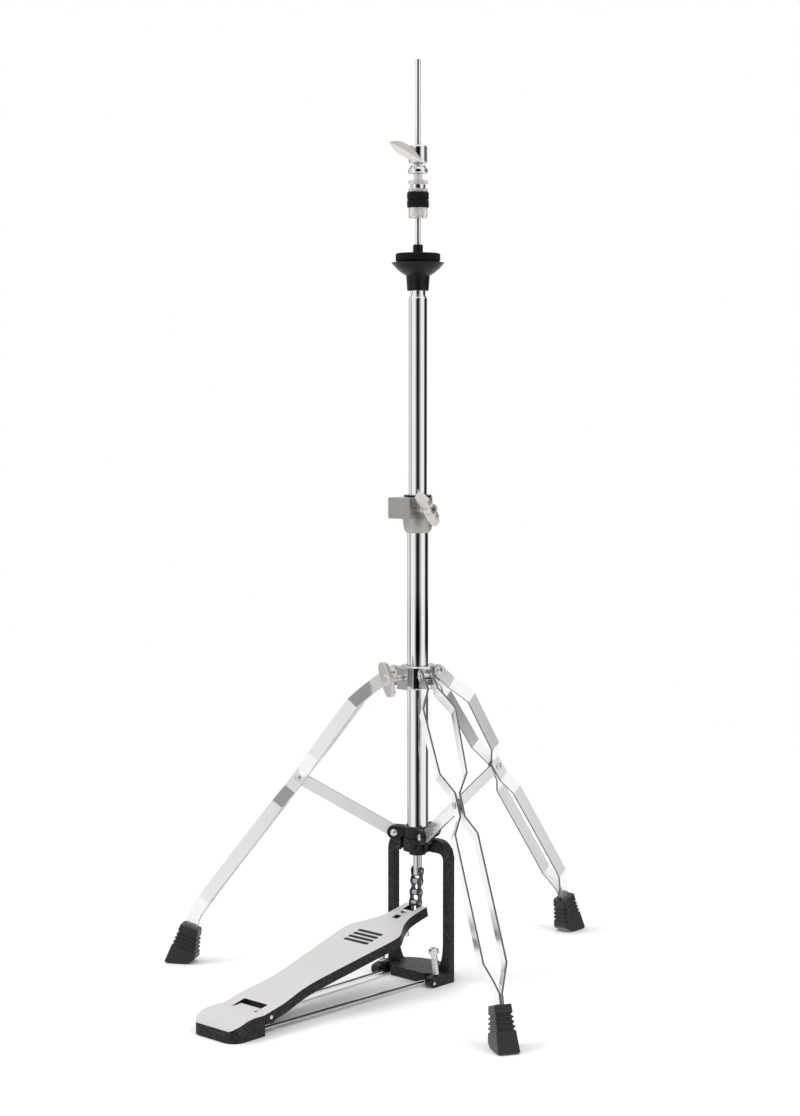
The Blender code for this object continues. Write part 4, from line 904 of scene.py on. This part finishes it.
def build_world(scene):
    """White surroundings with dark cards, which only reflections see. The camera sees plain white."""
    world = bpy.data.worlds.new("studio")
    world.use_nodes = True
    scene.world = world
    tree = world.node_tree
    tree.nodes.clear()
    white = (1, 1, 1, 1)
    coord = tree.nodes.new("ShaderNodeTexCoord")
    split = tree.nodes.new("ShaderNodeSeparateXYZ")
    tree.links.new(coord.outputs["Generated"], split.inputs["Vector"])
    azimuth = math_node(tree, "ARCTAN2", split.outputs["Y"], split.outputs["X"])
    away_from_camera = math.atan2(-CAMERA_AT.y, -CAMERA_AT.x)
    turned = math_node(tree, "SUBTRACT", azimuth, away_from_camera)
    wrapped = math_node(tree, "FLOORED_MODULO", turned, 2 * math.pi)
    share = math_node(tree, "DIVIDE", wrapped, 2 * math.pi)
    colour = white
    for cards, (low, inner_low, inner_high, high) in CARD_ROWS:
        table = [((degrees + 180) / 360, tone) for degrees, tone in cards]
        band = math_node(tree, "MULTIPLY", fade_node(tree, split.outputs["Z"], low, inner_low),
                         fade_node(tree, split.outputs["Z"], high, inner_high))
        row = mix_node(tree, band, white, grey_ramp(tree, share, table))
        colour = mix_node(tree, 1.0, colour, row, "MULTIPLY")
    path = tree.nodes.new("ShaderNodeLightPath")
    background = tree.nodes.new("ShaderNodeBackground")
    tree.links.new(mix_node(tree, path.outputs["Is Camera Ray"], colour, white), background.inputs["Color"])
    output = tree.nodes.new("ShaderNodeOutputWorld")
    tree.links.new(background.outputs["Background"], output.inputs["Surface"])


def build_floor(scene):
    """A plain pale floor that fades into the backdrop and that the chrome doesn't mirror."""
    bm = bmesh.new()
    bmesh.ops.create_circle(bm, cap_ends=True, segments=96, radius=FLOOR_R)
    mesh = bpy.data.meshes.new("floor")
    bm.to_mesh(mesh)
    bm.free()
    floor = bpy.data.objects.new("floor", mesh)
    scene.collection.objects.link(floor)
    floor.visible_glossy = False
    material = bpy.data.materials.new("floor")
    material.use_nodes = True
    mesh.materials.append(material)
    tree = material.node_tree
    bsdf = tree.nodes["Principled BSDF"]
    bsdf.inputs["Base Color"].default_value = (FLOOR_TONE, FLOOR_TONE, FLOOR_TONE, 1)
    bsdf.inputs["Roughness"].default_value = 0.9
    bsdf.inputs["Specular IOR Level"].default_value = 0.1
    coord = tree.nodes.new("ShaderNodeTexCoord")
    distance = tree.nodes.new("ShaderNodeVectorMath")
    distance.operation = "LENGTH"
    tree.links.new(coord.outputs["Object"], distance.inputs[0])
    path = tree.nodes.new("ShaderNodeLightPath")
    solid = fade_node(tree, distance.outputs["Value"], *reversed(FLOOR_FADE))
    unmirrored = math_node(tree, "SUBTRACT", 1.0, path.outputs["Is Glossy Ray"])
    tree.links.new(math_node(tree, "MULTIPLY", solid, unmirrored), bsdf.inputs["Alpha"])


def build_studio():
    scene = bpy.context.scene
    scene.view_settings.view_transform = "Standard"
    build_camera(scene)
    build_world(scene)
    build_floor(scene)
    add_light(scene, "key", Vector((-1.4, -1.8, 2.6)), 1.6, 34.0)
    add_light(scene, "fill", Vector((2.2, 0.3, 2.0)), 1.8, 18.0)


build_materials()
build_tubes()
build_pull_rod()
build_seat()
build_clutch()
build_clutch_wing()
build_castings()
build_legs()
build_chain()
build_pedal()
build_spurs()
paint_hidden_parts()
build_studio()
